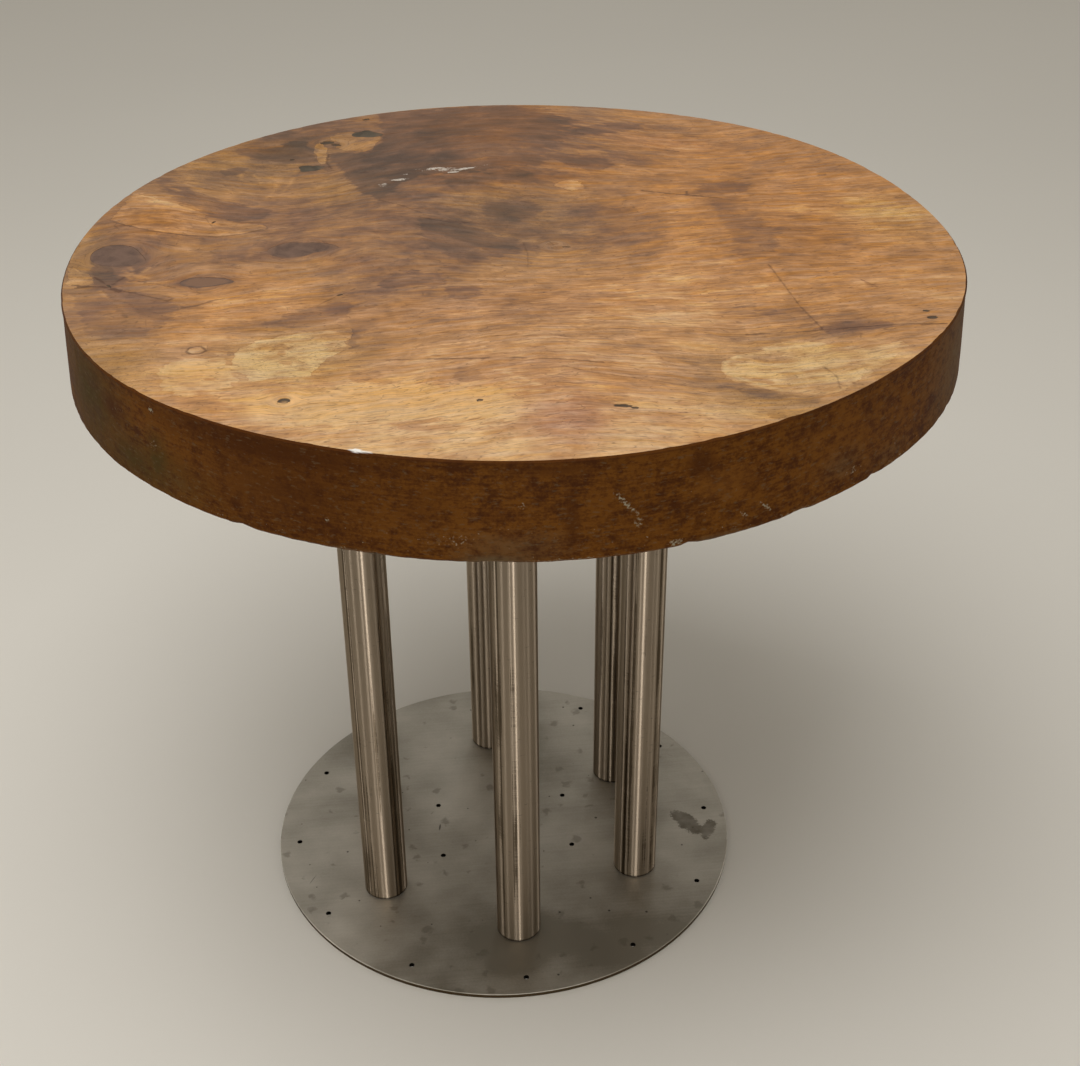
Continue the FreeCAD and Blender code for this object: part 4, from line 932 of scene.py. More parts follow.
def mill_steel(steel, name, radius, stain=(), scratches=(), painted_light_and_shade=()):
    """Rolled steel plate as it left the mill: matt grey, clouded and spotted, with the marks it is given,
    painted light and shade among them.
    """
    material, tree, shader = new_material(name)
    place = add(tree, "TexCoord", out="Object")
    # The rolling lines run along X
    pattern = patterns(tree, place, {"clouds": (75, 60, 60, 5), "blobs": (17, 13, 13, 3),
                                     "grain": (2.4, 2.4, 2.4, 3), "rolling": (160, 2.6, 2.6, 3)})
    mixed = pattern["clouds"]
    for kind, gain in (("grain", 0.2), ("rolling", 0.2)):
        mixed = add(tree, "Math", {0: pattern[kind], 1: gain, 2: mixed}, operation="MULTIPLY_ADD")
    share = add(tree, "MapRange", {"Value": mixed, "From Min": 0.30, "From Max": 1.10})
    # Painted light and shade: lighter clouds where light falls on the plate, darker ones for shadows and the
    # tubes' dark reflections
    for mark in painted_light_and_shade:
        painted_patch = add(tree, "MapRange", {"Value": mark_reach(tree, place, mark), "From Min": 1 + mark.soft,
                                       "From Max": 1 - mark.soft}, interpolation_type="SMOOTHSTEP")
        share = add(tree, "Math", {0: painted_patch, 1: mark.strength, 2: share}, operation="MULTIPLY_ADD")
    shade = add(tree, "Mix", {0: share, 6: steel.plate_dark, 7: steel.plate_light}, data_type="RGBA")
    # Round drops of oil that dried: about one in every 31 mm, of all sizes up to 14 mm
    wander = add(tree, "TexNoise", {"Vector": place, "Scale": 1 / (9 * MM)}, out="Color")
    wander = add(tree, "VectorMath", {0: wander, 1: (16 * MM, 16 * MM, 0), 2: place},
                 operation="MULTIPLY_ADD")
    drops = {side: add(tree, "TexVoronoi", {"Vector": wander, "Scale": 1 / (31 * MM)}, out=side,
                       voronoi_dimensions="2D") for side in ("Distance", "Color")}
    reach = add(tree, "SeparateColor", {0: drops["Color"]}, out="Red")
    reach = add(tree, "Math", {0: reach, 1: 0.30, 2: -0.09}, operation="MULTIPLY_ADD")
    reach = add(tree, "Math", {0: reach, 1: drops["Distance"]}, operation="SUBTRACT")
    blobs = add(tree, "MapRange", {"Value": reach, "From Min": -0.03, "From Max": 0.08, "To Max": 0.40})
    shade = add(tree, "Mix", {0: blobs, 6: shade, 7: steel.stain_colour}, data_type="RGBA")
    dots = add(tree, "TexVoronoi", {"Vector": place, "Scale": 1 / (70 * MM)}, out="Distance",
               voronoi_dimensions="2D")
    dots = add(tree, "Math", {0: pattern["clouds"], 1: -0.06, 2: dots}, operation="MULTIPLY_ADD")
    dots = add(tree, "MapRange", {"Value": dots, "From Min": -0.014, "From Max": -0.022, "To Max": 0.7})
    shade = add(tree, "Mix", {0: dots, 6: shade, 7: steel.dirt_and_shade_colour}, data_type="RGBA")
    if stain:
        reach = add(tree, "Math", {side: mark_reach(tree, place, lobe) for side, lobe in enumerate(stain)},
                    operation="MINIMUM")
        for kind, gain in (("blobs", 1.0), ("grain", 0.8)):
            reach = add(tree, "Math", {0: pattern[kind], 1: gain, 2: reach}, operation="MULTIPLY_ADD")
        patch = add(tree, "MapRange", {"Value": reach, "From Min": 1.92, "From Max": 1.72})
        uneven = add(tree, "MapRange", {"Value": pattern["blobs"], "From Min": 0.3, "From Max": 0.7,
                                        "To Min": 0.95, "To Max": 0.55})
        patch = add(tree, "Math", {0: patch, 1: uneven}, operation="MULTIPLY")
        shade = add(tree, "Mix", {0: patch, 6: shade, 7: steel.stain_colour}, data_type="RGBA")
    for mark in scratches:
        groove = add(tree, "MapRange", {"Value": mark_reach(tree, place, mark), "From Min": 1 + mark.soft,
                                        "From Max": 1 - mark.soft, "To Max": mark.strength})
        shade = add(tree, "Mix", {0: groove, 6: shade, 7: steel.dirt_and_shade_colour}, data_type="RGBA")

    # Painted shade in the drilled holes, whose walls stand upright inside the rim, and brown rust darkened
    # with painted shade on the edge
    upright = add(tree, "NewGeometry", out="True Normal")
    upright = add(tree, "SeparateXYZ", {0: upright}, out="Z")
    upright = add(tree, "Math", {0: upright}, operation="ABSOLUTE")
    upright = add(tree, "MapRange", {"Value": upright, "From Min": 0.6, "From Max": 0.4})
    flat = add(tree, "VectorMath", {0: place, 1: (1, 1, 0)}, operation="MULTIPLY")
    far = add(tree, "VectorMath", {0: flat}, operation="LENGTH", out="Value")
    edge = add(tree, "MapRange", {"Value": far, "From Min": radius - 4 * MM, "From Max": radius - 2 * MM})
    edge = add(tree, "Math", {0: upright, 1: edge}, operation="MULTIPLY")
    hole_shade = add(tree, "Math", {0: upright, 1: edge}, operation="SUBTRACT")
    for mark, own in ((edge, steel.edge_rust_and_shade_colour), (hole_shade, steel.dirt_and_shade_colour)):
        shade = add(tree, "Mix", {0: mark, 6: shade, 7: own}, data_type="RGBA")
    gloss = add(tree, "MapRange", {"Value": mixed, "From Min": 0.4, "From Max": 1.0,
                                   "To Min": 0.46, "To Max": 0.60})
    bump = add(tree, "Bump", {"Height": pattern["grain"], "Strength": 0.15, "Distance": 0.1 * MM})
    finish_shader(tree, shader, Base_Color=shade, Metallic=1.0, Roughness=gloss, Normal=bump)
    return material


def turned_steel(shade_light, name, pitch):
    """Bright steel from the lathe or the plating bath, with fine tool marks."""
    material, tree, shader = new_material(name)
    place = add(tree, "TexCoord", out="Object")
    marks = add(tree, "TexNoise", {"Vector": place, "Scale": 1 / (pitch * MM), "Detail": 3})
    dark = tuple(0.55 * value for value in shade_light[:3]) + (1.0,)
    shade = add(tree, "Mix", {0: marks, 6: dark, 7: shade_light}, data_type="RGBA")
    gloss = add(tree, "MapRange", {"Value": marks, "To Min": 0.22, "To Max": 0.45})
    finish_shader(tree, shader, Base_Color=shade, Metallic=1.0, Roughness=gloss)
    return material


def studio_floor(stage):
    """Matt painted studio floor: pale and plain, a little uneven."""
    material, tree, shader = new_material("painted_floor")
    place = add(tree, "TexCoord", out="Object")
    clouds = add(tree, "TexNoise", {"Vector": place, "Scale": 1 / (1400 * MM), "Detail": 3})
    dark = tuple(0.94 * value for value in stage.floor_colour[:3]) + (1.0,)
    shade = add(tree, "Mix", {0: clouds, 6: dark, 7: stage.floor_colour}, data_type="RGBA")
    finish_shader(tree, shader, Base_Color=shade, Roughness=0.9, Specular_IOR_Level=0.0)
    return material


def dress(node, material):
    """Give a CAD node a material in its own slots."""
    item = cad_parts[node]
    if not item.material_slots:
        item.data.materials.append(material)
    for slot in item.material_slots:
        slot.material = material


def node_points(node):
    """The corners of a CAD node's mesh."""
    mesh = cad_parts[node].data
    points = np.zeros(len(mesh.vertices) * 3)
    mesh.vertices.foreach_get("co", points)
    return points.reshape(-1, 3)


def outline_at(points, level, centre, inner=0.0):
    """Angles and distances from a centre of the points at one height, in order round it."""
    ring = points[np.abs(points[:, 2] - level) < SAME_LEVEL, :2] - centre
    reach = np.hypot(ring[:, 0], ring[:, 1])
    ring, reach = ring[reach > inner], reach[reach > inner]
    angles = np.arctan2(ring[:, 1], ring[:, 0])
    order = np.argsort(angles)
    return angles[order], reach[order]


def reach_at(outline, angles):
    """Distance of an outline from its centre at any angles."""
    return np.interp(angles, *outline, period=2 * math.pi)


def ring_of(centre, angles, reach):
    """Points round a centre."""
    return np.stack([centre[0] + reach * np.cos(angles), centre[1] + reach * np.sin(angles)], axis=-1)


def at_level(ring, level):
    """The points of a flat ring, at one height."""
    return np.column_stack([ring, np.full(len(ring), level)])


def turns(count):
    """Even angles once round."""
    return np.arange(count) * (2 * math.pi / count)


def wave(points, size, seed=0.0):
    """Smooth noise from about -1 to 1 at each point, with bumps of one size."""
    return np.array([noise.noise(Vector(p) / size + Vector((seed, seed, seed))) for p in points])


def smooth(share):
    """A share from 0 to 1, eased at both ends."""
    share = np.clip(share, 0, 1)
    return share * share * (3 - 2 * share)


def oval(dx, dy, mark):
    """How much of a mark there is at offsets from its centre: half at its outline."""
    turn = math.radians(mark.turn)
    along = (dx * math.cos(turn) + dy * math.sin(turn)) / (mark.length * MM / 2)
    across = (dy * math.cos(turn) - dx * math.sin(turn)) / (mark.width * MM / 2)
    return np.clip((1 + mark.soft - np.hypot(along, across)) / (2 * mark.soft), 0, 1)


def inside(points, loop):
    """Which points lie inside a closed loop."""
    found = np.zeros(len(points), bool)
    for (x0, y0), (x1, y1) in zip(loop, np.roll(loop, -1, axis=0)):
        if y0 != y1:
            crosses = (y0 > points[:, 1]) != (y1 > points[:, 1])
            found ^= crosses & (points[:, 0] < (x1 - x0) * (points[:, 1] - y0) / (y1 - y0) + x0)
    return found


def outside(points, loops):
    """Which points lie outside every loop."""
    found = np.ones(len(points), bool)
    for loop in loops:
        found &= ~inside(points, loop)
    return found


def plan_mesh(rim, holes, seeds, step):
    """Points and triangles that fill a rim round its holes, with given points and even ones between."""
    edges = []
    start = 0
    for loop in (rim, *holes):
        count = len(loop)
        edges += [(start + i, start + (i + 1) % count) for i in range(count)]
        start += count
    fixed = np.concatenate([rim, *holes, seeds])
    tree = kdtree.KDTree(len(fixed))
    for index, point in enumerate(fixed):
        tree.insert((*point, 0), index)
    tree.balance()
    low, high = fixed.min(axis=0), fixed.max(axis=0)
    rows = np.arange(low[1], high[1], step * math.sqrt(3) / 2)
    columns = np.arange(low[0], high[0], step)
    grid = [(x + (row % 2) * step / 2, y) for row, y in enumerate(rows) for x in columns]
    grid = np.array([p for p in grid if tree.find((*p, 0))[2] > 0.6 * step])
    points = np.concatenate([fixed, grid[inside(grid, rim) & outside(grid, holes)]])
    triangles = geometry.delaunay_2d_cdt([Vector(p) for p in points], edges, [], 0, 1e-9)[2]
    triangles = np.array(triangles)
    middles = points[triangles].mean(axis=1)
    return points, triangles[inside(middles, rim) & outside(middles, holes)]


class Solid:
    """Points and faces of one closed piece as it is put together."""

    def __init__(self):
        self.points = []
        self.faces = []
        self.finishes = []

    def place(self, points):
        """Add points and return their numbers."""
        start = len(self.points)
        self.points += [tuple(p) for p in points]
        return list(range(start, len(self.points)))

    def face(self, corners, finish=0):
        """Add one face."""
        self.faces.append(tuple(corners))
        self.finishes.append(finish)

    def band(self, first, second, finish=0):
        """Join two rings of as many points; the second lies to the right when walking the first."""
        count = len(first)
        for i in range(count):
            j = (i + 1) % count
            self.face((first[i], second[i], second[j], first[j]), finish)

    def cap(self, ring, middle, finish=0):
        """Close a ring with triangles to a middle point."""
        count = len(ring)
        for i in range(count):
            self.face((ring[i], middle, ring[(i + 1) % count]), finish)

    def build(self, name, materials):
        """Make the mesh object, smooth apart from its sharp edges."""
        mesh = bpy.data.meshes.new(name)
        mesh.from_pydata(self.points, [], self.faces)
        for material in materials:
            mesh.materials.append(material)
        mesh.polygons.foreach_set("material_index", self.finishes)
        mesh.polygons.foreach_set("use_smooth", [True] * len(mesh.polygons))
        if mesh.validate():
            raise RuntimeError(f"the mesh of {name} has faults")
        mesh.set_sharp_from_angle(angle=SHARP_EDGE)
        piece = bpy.data.objects.new(name, mesh)
        bpy.context.scene.collection.objects.link(piece)
        return piece


def filler_outline(patch):
    """Centre of a filler patch and its outline in the top face, as the frame has it."""
    points = node_points(f"filler_{patch}")
    top = points[:, 2].max()
    centre = points[np.abs(points[:, 2] - top) < SAME_LEVEL, :2].mean(axis=0)
    return centre, outline_at(points, top, centre)


def filler_ring(patch):
    """Centre of a filler patch and its reach at even angles, dented where the knot is ragged."""
    centre, outline = filler_outline(patch)
    angles = turns(FILLER_STEPS)
    reach = reach_at(outline, angles)
    for bearing, wide, depth in DENTS[patch]:
        reach = reach * (1 - depth * np.exp(-(bearing_gap(angles, bearing) / math.radians(wide)) ** 2))
    return centre, reach


def chip_wedge(angles, reach):
    """How far the chip has broken in at each angle: blunt at one end, drawn out at the other."""
    along = bearing_gap(angles, CHIP.bearing) * reach / (CHIP.length * MM)
    return smooth((0.5 + along) / 0.25) * smooth((0.5 - along) / 0.9)


def pit_outline(pit, number):
    """Ragged outline of an open knot or worm hole."""
    angles = turns(PIT_STEPS)
    ragged = 1 + 0.28 * wave(at_level(ring_of((0, 0), angles, 1), 0), 0.55, number * 3.7)
    turn = math.radians(pit.turn)
    along = pit.length * MM / 2 * np.cos(angles) * ragged
    across = pit.width * MM / 2 * np.sin(angles) * ragged
    return np.stack([pit.x * MM + along * math.cos(turn) - across * math.sin(turn),
                     pit.y * MM + along * math.sin(turn) + across * math.cos(turn)], axis=-1)


def even_points(points, step):
    """Points at even steps along a bent line."""
    points = np.array(points) * MM
    run = np.concatenate([[0], np.cumsum(np.hypot(*np.diff(points, axis=0).T))])
    at = np.linspace(0, run[-1], max(2, round(run[-1] / step)))
    return np.stack([np.interp(at, run, points[:, 0]), np.interp(at, run, points[:, 1])], axis=-1)


def bearing_gap(angles, bearing):
    """Signed angle from a bearing in degrees to each angle in radians."""
    return (angles - math.radians(bearing) + math.pi) % (2 * math.pi) - math.pi


def fibre_flow(x, y):
    """Distance along and across the fibres, which run aslant in places and part round knots."""
    along, across = x.copy(), y.copy()
    for kx, ky, reach, slope in SLANTS:
        near = np.exp(-((x - kx * MM) ** 2 + (y - ky * MM) ** 2) / (reach * MM) ** 2)
        across -= slope * (x - kx * MM) * near
    for kx, ky, reach in KNOTS:
        dx, dy, size = x - kx * MM, y - ky * MM, (reach * MM) ** 2
        across -= dy * size / (dx ** 2 + dy ** 2 + 0.35 * size)
    return along, across


def patch_share(x, y, patch):
    """How much of a patch there is at each point: a half at its outline, all or none beyond its edge."""
    loop = np.array(patch.outline) * MM
    soft = patch.soft * MM
    share = np.zeros(len(x))
    low, high = loop.min(axis=0) - soft, loop.max(axis=0) + soft
    close = np.flatnonzero((x > low[0]) & (x < high[0]) & (y > low[1]) & (y < high[1]))
    points = np.column_stack([x[close], y[close]])
    away = np.full(len(close), np.inf)
    for start, end in zip(loop, np.roll(loop, -1, axis=0)):
        run = end - start
        at = np.clip((points - start) @ run / (run @ run), 0, 1)
        away = np.minimum(away, np.hypot(*(points - start - at[:, None] * run).T))
    away = np.where(inside(points, loop), away, -away)
    share[close] = np.clip(0.5 + away / (2 * soft), 0, 1)
    return share


class Slab:
    """The sawn slab as a mesh, with the figure of its wood at every point."""

    def __init__(self, settings):
        self.settings = settings
        low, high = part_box("table_top")
        self.centre = np.array([(low.x + high.x) / 2, (low.y + high.y) / 2])
        self.under, self.top = low.z, high.z
        points = node_points("table_top")
        inner = RIM_SHARE * np.hypot(*(points[:, :2] - self.centre).T).max()
        self.levels = (self.top, self.top - settings.upper_arris, self.under + settings.lower_arris,
                       self.under)
        self.outlines = [outline_at(points, level, self.centre, inner) for level in self.levels]
        self.angles = turns(settings.rim_steps)

    def wear(self, heights, points):
        """How far the saw and the years have taken the rim back at each point."""
        s = self.settings
        drawn_down = points * (1, 1, 0.3)
        depth = SAW_LEAST + s.saw_depth * (0.5 + 0.5 * wave(drawn_down, SAW_TEETH))
        depth += s.saw_depth * (1 + wave(points, SAW_SWAY, 5.0))
        depth *= smooth((self.top - heights) / SAW_FADE)
        foot = np.exp(-((heights - self.under) / FOOT_REACH) ** 2)
        depth += s.wear_depth * foot * np.clip(0.3 + wave(drawn_down, CRUMB_SIZE, 9.0), 0, 1)
        for bearing, wide, deep in NOTCHES:
            gap = bearing_gap(self.angles, bearing) * self.outlines[2][1].mean()
            depth += deep * MM * foot * np.exp(-(gap / (wide * MM / 2)) ** 2)
        shoulder = smooth(1 - (self.top - heights) / SHOULDER_REACH)
        depth += s.nick_depth * shoulder * np.clip(wave(points * (1, 1, 0), NICK_SIZE, 3.0) - 0.1, 0, 1)
        depth += CHIP.depth * MM * shoulder * chip_wedge(self.angles, self.outlines[0][1].mean())
        return depth

    def chip_points(self):
        """Close points round the chip, so that its edge is crisp."""
        middle = math.radians(CHIP.bearing)
        reach = reach_at(self.outlines[0], middle)
        along = np.arange(-0.6 * CHIP.length, 0.6 * CHIP.length, 1.2) * MM / reach
        inward = np.arange(2.6, 1.4 * CHIP.reach, 1.2) * MM
        return np.concatenate([ring_of(self.centre, middle + along, reach - step) for step in inward])

    def rim_ring(self, height):
        """Worn ring of the rim at one height."""
        levels = self.levels[::-1]
        reach = [reach_at(outline, self.angles) for outline in self.outlines[::-1]]
        index = min(np.searchsorted(levels, height, side="right") - 1, len(levels) - 2)
        share = (height - levels[index]) / (levels[index + 1] - levels[index])
        radius = reach[index] * (1 - share) + reach[index + 1] * share
        ring = at_level(ring_of(self.centre, self.angles, radius), height)
        radius -= self.wear(ring[:, 2], ring)
        return at_level(ring_of(self.centre, self.angles, radius), height)

    def rim_heights(self):
        """Heights of the rim's rings below the top face: close at both arrises."""
        s = self.settings
        upper = self.top - s.upper_arris * np.array([0.35, 0.7, 1.0])
        wall = np.linspace(self.levels[1], self.levels[2], WALL_RINGS)[1:-1]
        lower = self.under + s.lower_arris * np.array([1.0, 0.66, 0.33])
        return np.concatenate([upper, wall, lower])

    def build(self, materials):
        """Put the top face, its pockets and pits, the rim and the underside together."""
        s = self.settings
        solid = Solid()
        rim = self.rim_ring(self.top)
        fillers = [ring_of(centre, turns(FILLER_STEPS), reach)
                   for centre, reach in map(filler_ring, FILLERS)]
        pits = [pit_outline(pit, number) for number, pit in enumerate(PITS)]
        holes = [*fillers, *pits]
        lines = [(kind, line.strength, even_points(line.points, LINE_STEP * s.mesh_step))
                 for kind, group in LINES.items() for line in group]
        lines = [(kind, strength, path[outside(path, holes)]) for kind, strength, path in lines]
        seeds = np.concatenate([*(path for _, _, path in lines), self.chip_points()])
        plan, triangles = plan_mesh(rim[:, :2], holes, seeds, s.mesh_step)
        numbers = solid.place(at_level(plan, self.top))
        for corners in triangles:
            solid.face([numbers[c] for c in corners])

        start = len(rim)
        for patch, loop in zip(FILLERS, fillers):
            ring = numbers[start:start + len(loop)]
            start += len(loop)
            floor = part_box(f"filler_{patch}")[0].z
            foot = solid.place(at_level(loop, floor))
            middle = solid.place([(*loop.mean(axis=0), floor)])[0]
            solid.band(foot, ring)
            solid.cap(foot[::-1], middle)
        self.drawn = {"pit": {}, **{kind: {} for kind in LINES}}
        for pit, loop in zip(PITS, pits):
            ring = numbers[start:start + len(loop)]
            start += len(loop)
            middle = loop.mean(axis=0)
            for share, deep, dirt in PIT_RINGS:
                inner = middle + (loop - middle) * share
                lower = solid.place(at_level(inner, self.top - deep * pit.depth * MM))
                self.drawn["pit"].update({number: dirt for number in lower})
                solid.band(lower, ring)
                ring = lower
            bottom = solid.place([(*middle, self.top - pit.depth * MM)])[0]
            self.drawn["pit"][bottom] = PIT_BOTTOM_DIRT
            solid.cap(ring[::-1], bottom)
        for kind, strength, path in lines:
            self.drawn[kind].update({number: strength for number in numbers[start:start + len(path)]})
            start += len(path)

        ring = numbers[:len(rim)]
        for height in self.rim_heights():
            lower = solid.place(self.rim_ring(height))
            solid.band(ring, lower, 1)
            ring = lower
        foot = self.rim_ring(self.under)
        plan, triangles = plan_mesh(foot[:, :2], [], np.zeros((0, 2)), UNDER_STEP * s.mesh_step)
        numbers = solid.place(at_level(plan, self.under))
        solid.band(ring, numbers[:len(foot)], 1)
        for a, b, c in triangles:
            solid.face([numbers[a], numbers[c], numbers[b]], 2)
        piece = solid.build("sawn_slab", materials)
        self.paint(piece.data)
        return piece

    def paint(self, mesh):
        """Write the figure of the wood and of the rim onto the mesh's points."""
        points = np.zeros(len(mesh.vertices) * 3)
        mesh.vertices.foreach_get("co", points)
        points = points.reshape(-1, 3)
        x, y, z = points.T
        wander = [sum(far * MM * wave(points, size * MM, seed) for far, size in WANDER)
                  for seed in (2.0, 8.0)]
        u, v = x + wander[0], y + wander[1]
        values = {}
        for name, marks in CLOUDS.items():
            shares = [mark.strength * smooth(oval(u - mark.x * MM, v - mark.y * MM, mark))
                      for mark in marks]
            values[name] = np.sum(shares, axis=0) if name == "tone" else np.max(shares, axis=0)
        values["tone"] += self.settings.base_tone
        for name, patches in PATCHES.items():
            shares = np.array([patch_share(u, v, patch) for patch in patches])
            nearest = shares.argmax(axis=0)
            values[name] = shares.max(axis=0)
            values[f"{name}_depth"] = np.array([patch.strength for patch in patches])[nearest]
        angles = np.arctan2(y - self.centre[1], x - self.centre[0])
        reach = np.hypot(x - self.centre[0], y - self.centre[1])
        for name, marks in RIM_FIGURE.items():
            shares = [mark.strength * oval(bearing_gap(angles, mark.x) * reach + 0.5 * wander[0],
                                           z - self.under - mark.y * MM + 0.5 * wander[1], mark)
                      for mark in marks]
            values[name] = np.max(shares, axis=0)
        values["height"] = (z - self.under) / (self.top - self.under)
        for name, drawn in self.drawn.items():
            values[name] = np.zeros(len(points))
            values[name][list(drawn)] = list(drawn.values())
        inward = reach_at(self.outlines[0], angles) - reach
        wedge = chip_wedge(angles, reach)
        broken = wedge - np.hypot(inward / CHIP.reach, (self.top - z) / CHIP.depth) / MM
        values["chip"] = smooth(0.5 + 4 * broken) * smooth(5 * wedge)
        for name, value in values.items():
            mesh.attributes.new(name, "FLOAT", "POINT").data.foreach_set("value", value.astype(np.float32))
        along, across = fibre_flow(x, y)
        flow = np.column_stack([along, across, np.zeros(len(points))]).astype(np.float32)
        mesh.attributes.new("grain", "FLOAT_VECTOR", "POINT").data.foreach_set("vector", flow.ravel())


class TABLE_OT_slab(bpy.types.Operator):
    """Saw the slab: its figured face, weathered rim and bare underside"""

    bl_idname = "table.slab"
    bl_label = "Sawn slab"

    def execute(self, context):
        settings = context.scene.table_slab
        materials = [oiled_teak(settings), weathered_rim(settings), sawn_underside(settings)]
        piece = Slab(settings).build(materials)
        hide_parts("table_top")
        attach(piece, BODY)
        return {"FINISHED"}


class TABLE_OT_fillers(bpy.types.Operator):
    """Let the filler into the slab's knots and splits"""

    bl_idname = "table.fillers"
    bl_label = "Knot filler"

    def execute(self, context):
        settings = context.scene.table_filler
        brown = wood_filler("resin_filler_brown", settings.brown_light, settings.brown_dark,
                            settings.thin_colour)
        grey = wood_filler("resin_filler_grey", settings.grey_light, settings.grey_dark,
                           settings.thin_colour)
        for patch in FILLERS:
            node = f"filler_{patch}"
            low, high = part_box(node)
            centre, reach = filler_ring(patch)
            angles = turns(FILLER_STEPS)
            reach = reach - settings.gap
            solid = Solid()
            foot = solid.place(at_level(ring_of(centre, angles, reach), low.z))
            solid.cap(foot[::-1], solid.place([(*centre, low.z)])[0])
            ring = foot
            for share, sunk in FILLER_RINGS:
                level = high.z - sunk * settings.dish
                inner = solid.place(at_level(ring_of(centre, angles, share * reach), level))
                solid.band(inner, ring)
                ring = inner
            solid.cap(ring, solid.place([(*centre, high.z - settings.dish)])[0])
            piece = solid.build(f"let_in_{patch}", [grey if patch.startswith("back") else brown])
            points = np.array(solid.points)[:, :2] - centre
            away = np.hypot(*points.T) / reach_at((angles, reach), np.arctan2(points[:, 1], points[:, 0]))
            tail = points[:, 0] / (high.x - centre[0])
            if patch in FADED:
                edges = smooth((away - 0.7) / 0.3) + smooth((tail - 0.2) / 0.8)
                faded = FADED[patch] * np.clip(edges, 0, 1.5)
            else:
                faded = FADED_MIDDLE * smooth((1 - away) / 0.5)
            values = piece.data.attributes.new("faded", "FLOAT", "POINT")
            values.data.foreach_set("value", faded.astype(np.float32))
            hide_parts(node)
            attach(piece, BODY)
        return {"FINISHED"}


class TABLE_OT_tubes(bpy.types.Operator):
    """Stand the six ground tubes on the base plate"""

    bl_idname = "table.tubes"
    bl_label = "Steel tubes"

    def execute(self, context):
        steel = context.scene.table_steel
        material = ground_tube(steel)
        angles = turns(steel.tube_steps)
        for leg in LEGS:
            node = f"leg_tube_{leg}"
            low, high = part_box(node)
            radius, height = (high.x - low.x) / 2, high.z - low.z
            bore, eased, edge = radius - steel.tube_wall, radius - steel.tube_break, steel.tube_break
            profile = ((bore, 0), (eased, 0), (radius, edge), (radius, height / 3),
                       (radius, height * 2 / 3), (radius, height - edge), (eased, height), (bore, height))
            solid = Solid()
            rings = [solid.place(at_level(ring_of((0, 0), angles, reach), level))
                     for reach, level in profile]
            for ring, upper in zip(rings, rings[1:] + rings[:1]):
                solid.band(upper, ring)
            piece = solid.build(f"ground_tube_{leg}", [material])
            piece.location = ((low.x + high.x) / 2, (low.y + high.y) / 2, low.z)
            piece.rotation_euler.z = leg * steel.tube_turn
            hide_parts(node)
            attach(piece, BODY)
        return {"FINISHED"}


class TABLE_OT_plates(bpy.types.Operator):
    """Finish the base plate and the upper plate"""

    bl_idname = "table.plates"
    bl_label = "Steel plates"

    def execute(self, context):
        steel = context.scene.table_steel
        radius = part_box("base_plate")[1].x
        dress("base_plate", mill_steel(steel, "steel_plate_mill_finish_stained", radius, STAIN,
                                       SCRATCHES, PLATE_LIGHT_AND_SHADE))
        dress("top_plate", mill_steel(steel, "steel_plate_mill_finish", radius))
        return {"FINISHED"}


class TABLE_OT_fixings(bpy.types.Operator):
    """Finish the plugs and screws that hold the table together"""

    bl_idname = "table.fixings"
    bl_label = "Plugs and screws"

    def execute(self, context):
        steel = context.scene.table_steel
        turned = turned_steel(steel.plug_colour, "steel_turned", 1.5)
        zinc = turned_steel(steel.zinc_colour, "steel_zinc_plated", 3.0)
        for leg in LEGS:
            dress(f"lower_plug_{leg}", turned)
            dress(f"upper_plug_{leg}", turned)
        for node in ("lower_leg_screws", "upper_leg_screws", "outer_slab_screws", "inner_slab_screws"):
            dress(node, zinc)
        return {"FINISHED"}


def hang_lamp(name, width, height, power, place, turn):
    """Hang one rectangular lamp."""
    lamp = bpy.data.objects.new(name, bpy.data.lights.new(name, "AREA"))
    lamp.data.shape = "RECTANGLE"
    lamp.data.size = width
    lamp.data.size_y = height
    lamp.data.energy = power
    lamp.location = place
    lamp.rotation_euler = turn
    bpy.context.scene.collection.objects.link(lamp)
    return lamp


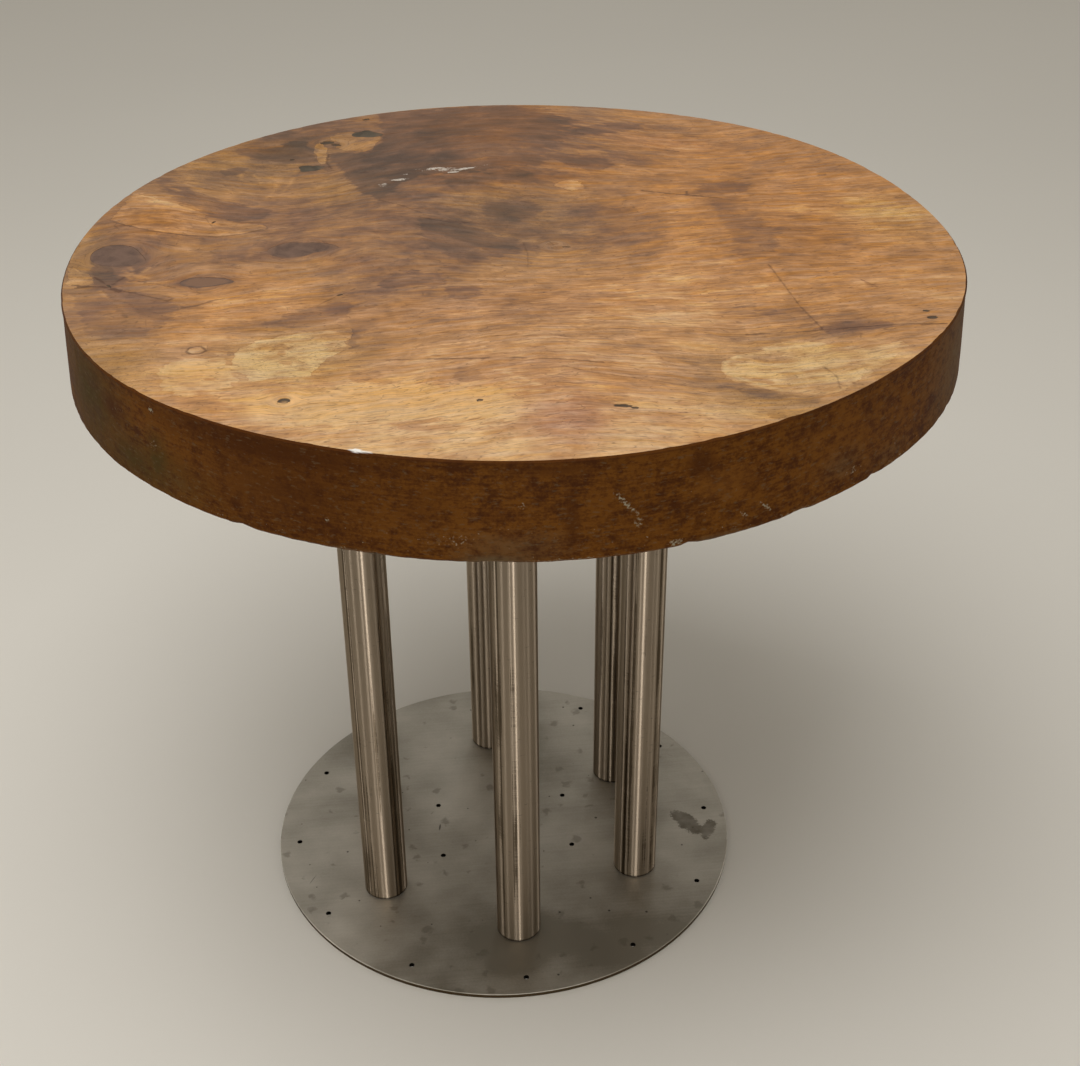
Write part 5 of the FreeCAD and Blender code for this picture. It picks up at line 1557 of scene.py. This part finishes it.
class TABLE_OT_stage(bpy.types.Operator):
    """Set up the floor, the soft light and the camera"""

    bl_idname = "table.stage"
    bl_label = "Studio"

    def execute(self, context):
        stage = context.scene.table_stage
        scene = context.scene
        solid = Solid()
        angles = turns(FLOOR_STEPS)
        inner, outer = (solid.place(at_level(ring_of((0, 0), angles, reach), -FLOOR_DROP))
                        for reach in (FLOOR_MIDDLE, stage.floor_radius))
        solid.band(inner, outer)
        solid.cap(inner[::-1], solid.place([(0, 0, -FLOOR_DROP)])[0])
        solid.build("studio_floor", [studio_floor(stage)])

        world = bpy.data.worlds.new("studio_walls")
        scene.world = world
        world.use_nodes = True
        walls = world.node_tree.nodes["Background"]
        walls.inputs["Color"].default_value = stage.world_colour
        walls.inputs["Strength"].default_value = stage.world_strength

        aim = Vector(LAMP_TARGET) - Vector(stage.lamp_place)
        hang_lamp("overhead_lamp", stage.lamp_size, stage.lamp_size, stage.lamp_power, stage.lamp_place,
                  aim.to_track_quat("-Z", "Y").to_euler())
        for number, strip in enumerate(STRIPS, 1):
            bearing = math.radians(strip.bearing)
            place = (stage.strip_distance * math.cos(bearing), stage.strip_distance * math.sin(bearing),
                     stage.strip_height / 2)
            lamp = hang_lamp(f"strip_lamp_{number}", strip.width, stage.strip_height, strip.power, place,
                             (math.pi / 2, 0, bearing + math.pi / 2))
            lamp.visible_camera = False
            lamp.visible_diffuse = False

        camera = bpy.data.objects.new("camera", bpy.data.cameras.new("camera"))
        camera.data.lens = stage.camera_lens
        camera.data.sensor_width = SENSOR_WIDTH
        camera.location = stage.camera_place
        yaw = Euler((0, 0, -stage.camera_yaw)).to_matrix()
        tilt = Euler((math.pi / 2 - stage.camera_pitch, 0, 0)).to_matrix()
        roll = Euler((0, 0, stage.camera_roll)).to_matrix()
        camera.rotation_euler = (yaw @ tilt @ roll).to_euler()
        scene.collection.objects.link(camera)
        scene.camera = camera
        scene.view_settings.view_transform = "Standard"
        return {"FINISHED"}


class TABLE_PT_looks(bpy.types.Panel):
    """The table's pieces, in the order in which they are made"""

    bl_label = "Round slab table"
    bl_space_type = "VIEW_3D"
    bl_region_type = "UI"
    bl_category = "Table"

    def draw(self, context):
        for name, group in SETTINGS.items():
            box = self.layout.box()
            for prop in group.__annotations__:
                box.prop(getattr(context.scene, name), prop)
        for operator in OPERATORS:
            self.layout.operator(operator.bl_idname)


SETTINGS = {"table_slab": SlabSettings, "table_filler": FillerSettings, "table_steel": SteelSettings,
            "table_stage": StageSettings}
OPERATORS = (TABLE_OT_stage, TABLE_OT_slab, TABLE_OT_fillers, TABLE_OT_tubes, TABLE_OT_plates,
             TABLE_OT_fixings)


def register():
    """Make the settings, the operators and the panel known to Blender."""
    for item in (*SETTINGS.values(), *OPERATORS, TABLE_PT_looks):
        bpy.utils.register_class(item)
    for name, group in SETTINGS.items():
        setattr(bpy.types.Scene, name, PointerProperty(type=group))


def unregister():
    """Take them out again, last one first."""
    for name in SETTINGS:
        delattr(bpy.types.Scene, name)
    for item in (TABLE_PT_looks, *reversed(OPERATORS), *reversed(SETTINGS.values())):
        bpy.utils.unregister_class(item)


def main():
    """Make every piece in order."""
    register()
    for operator in OPERATORS:
        module, name = operator.bl_idname.split(".")
        getattr(getattr(bpy.ops, module), name)()


if __name__ == "__main__":
    main()
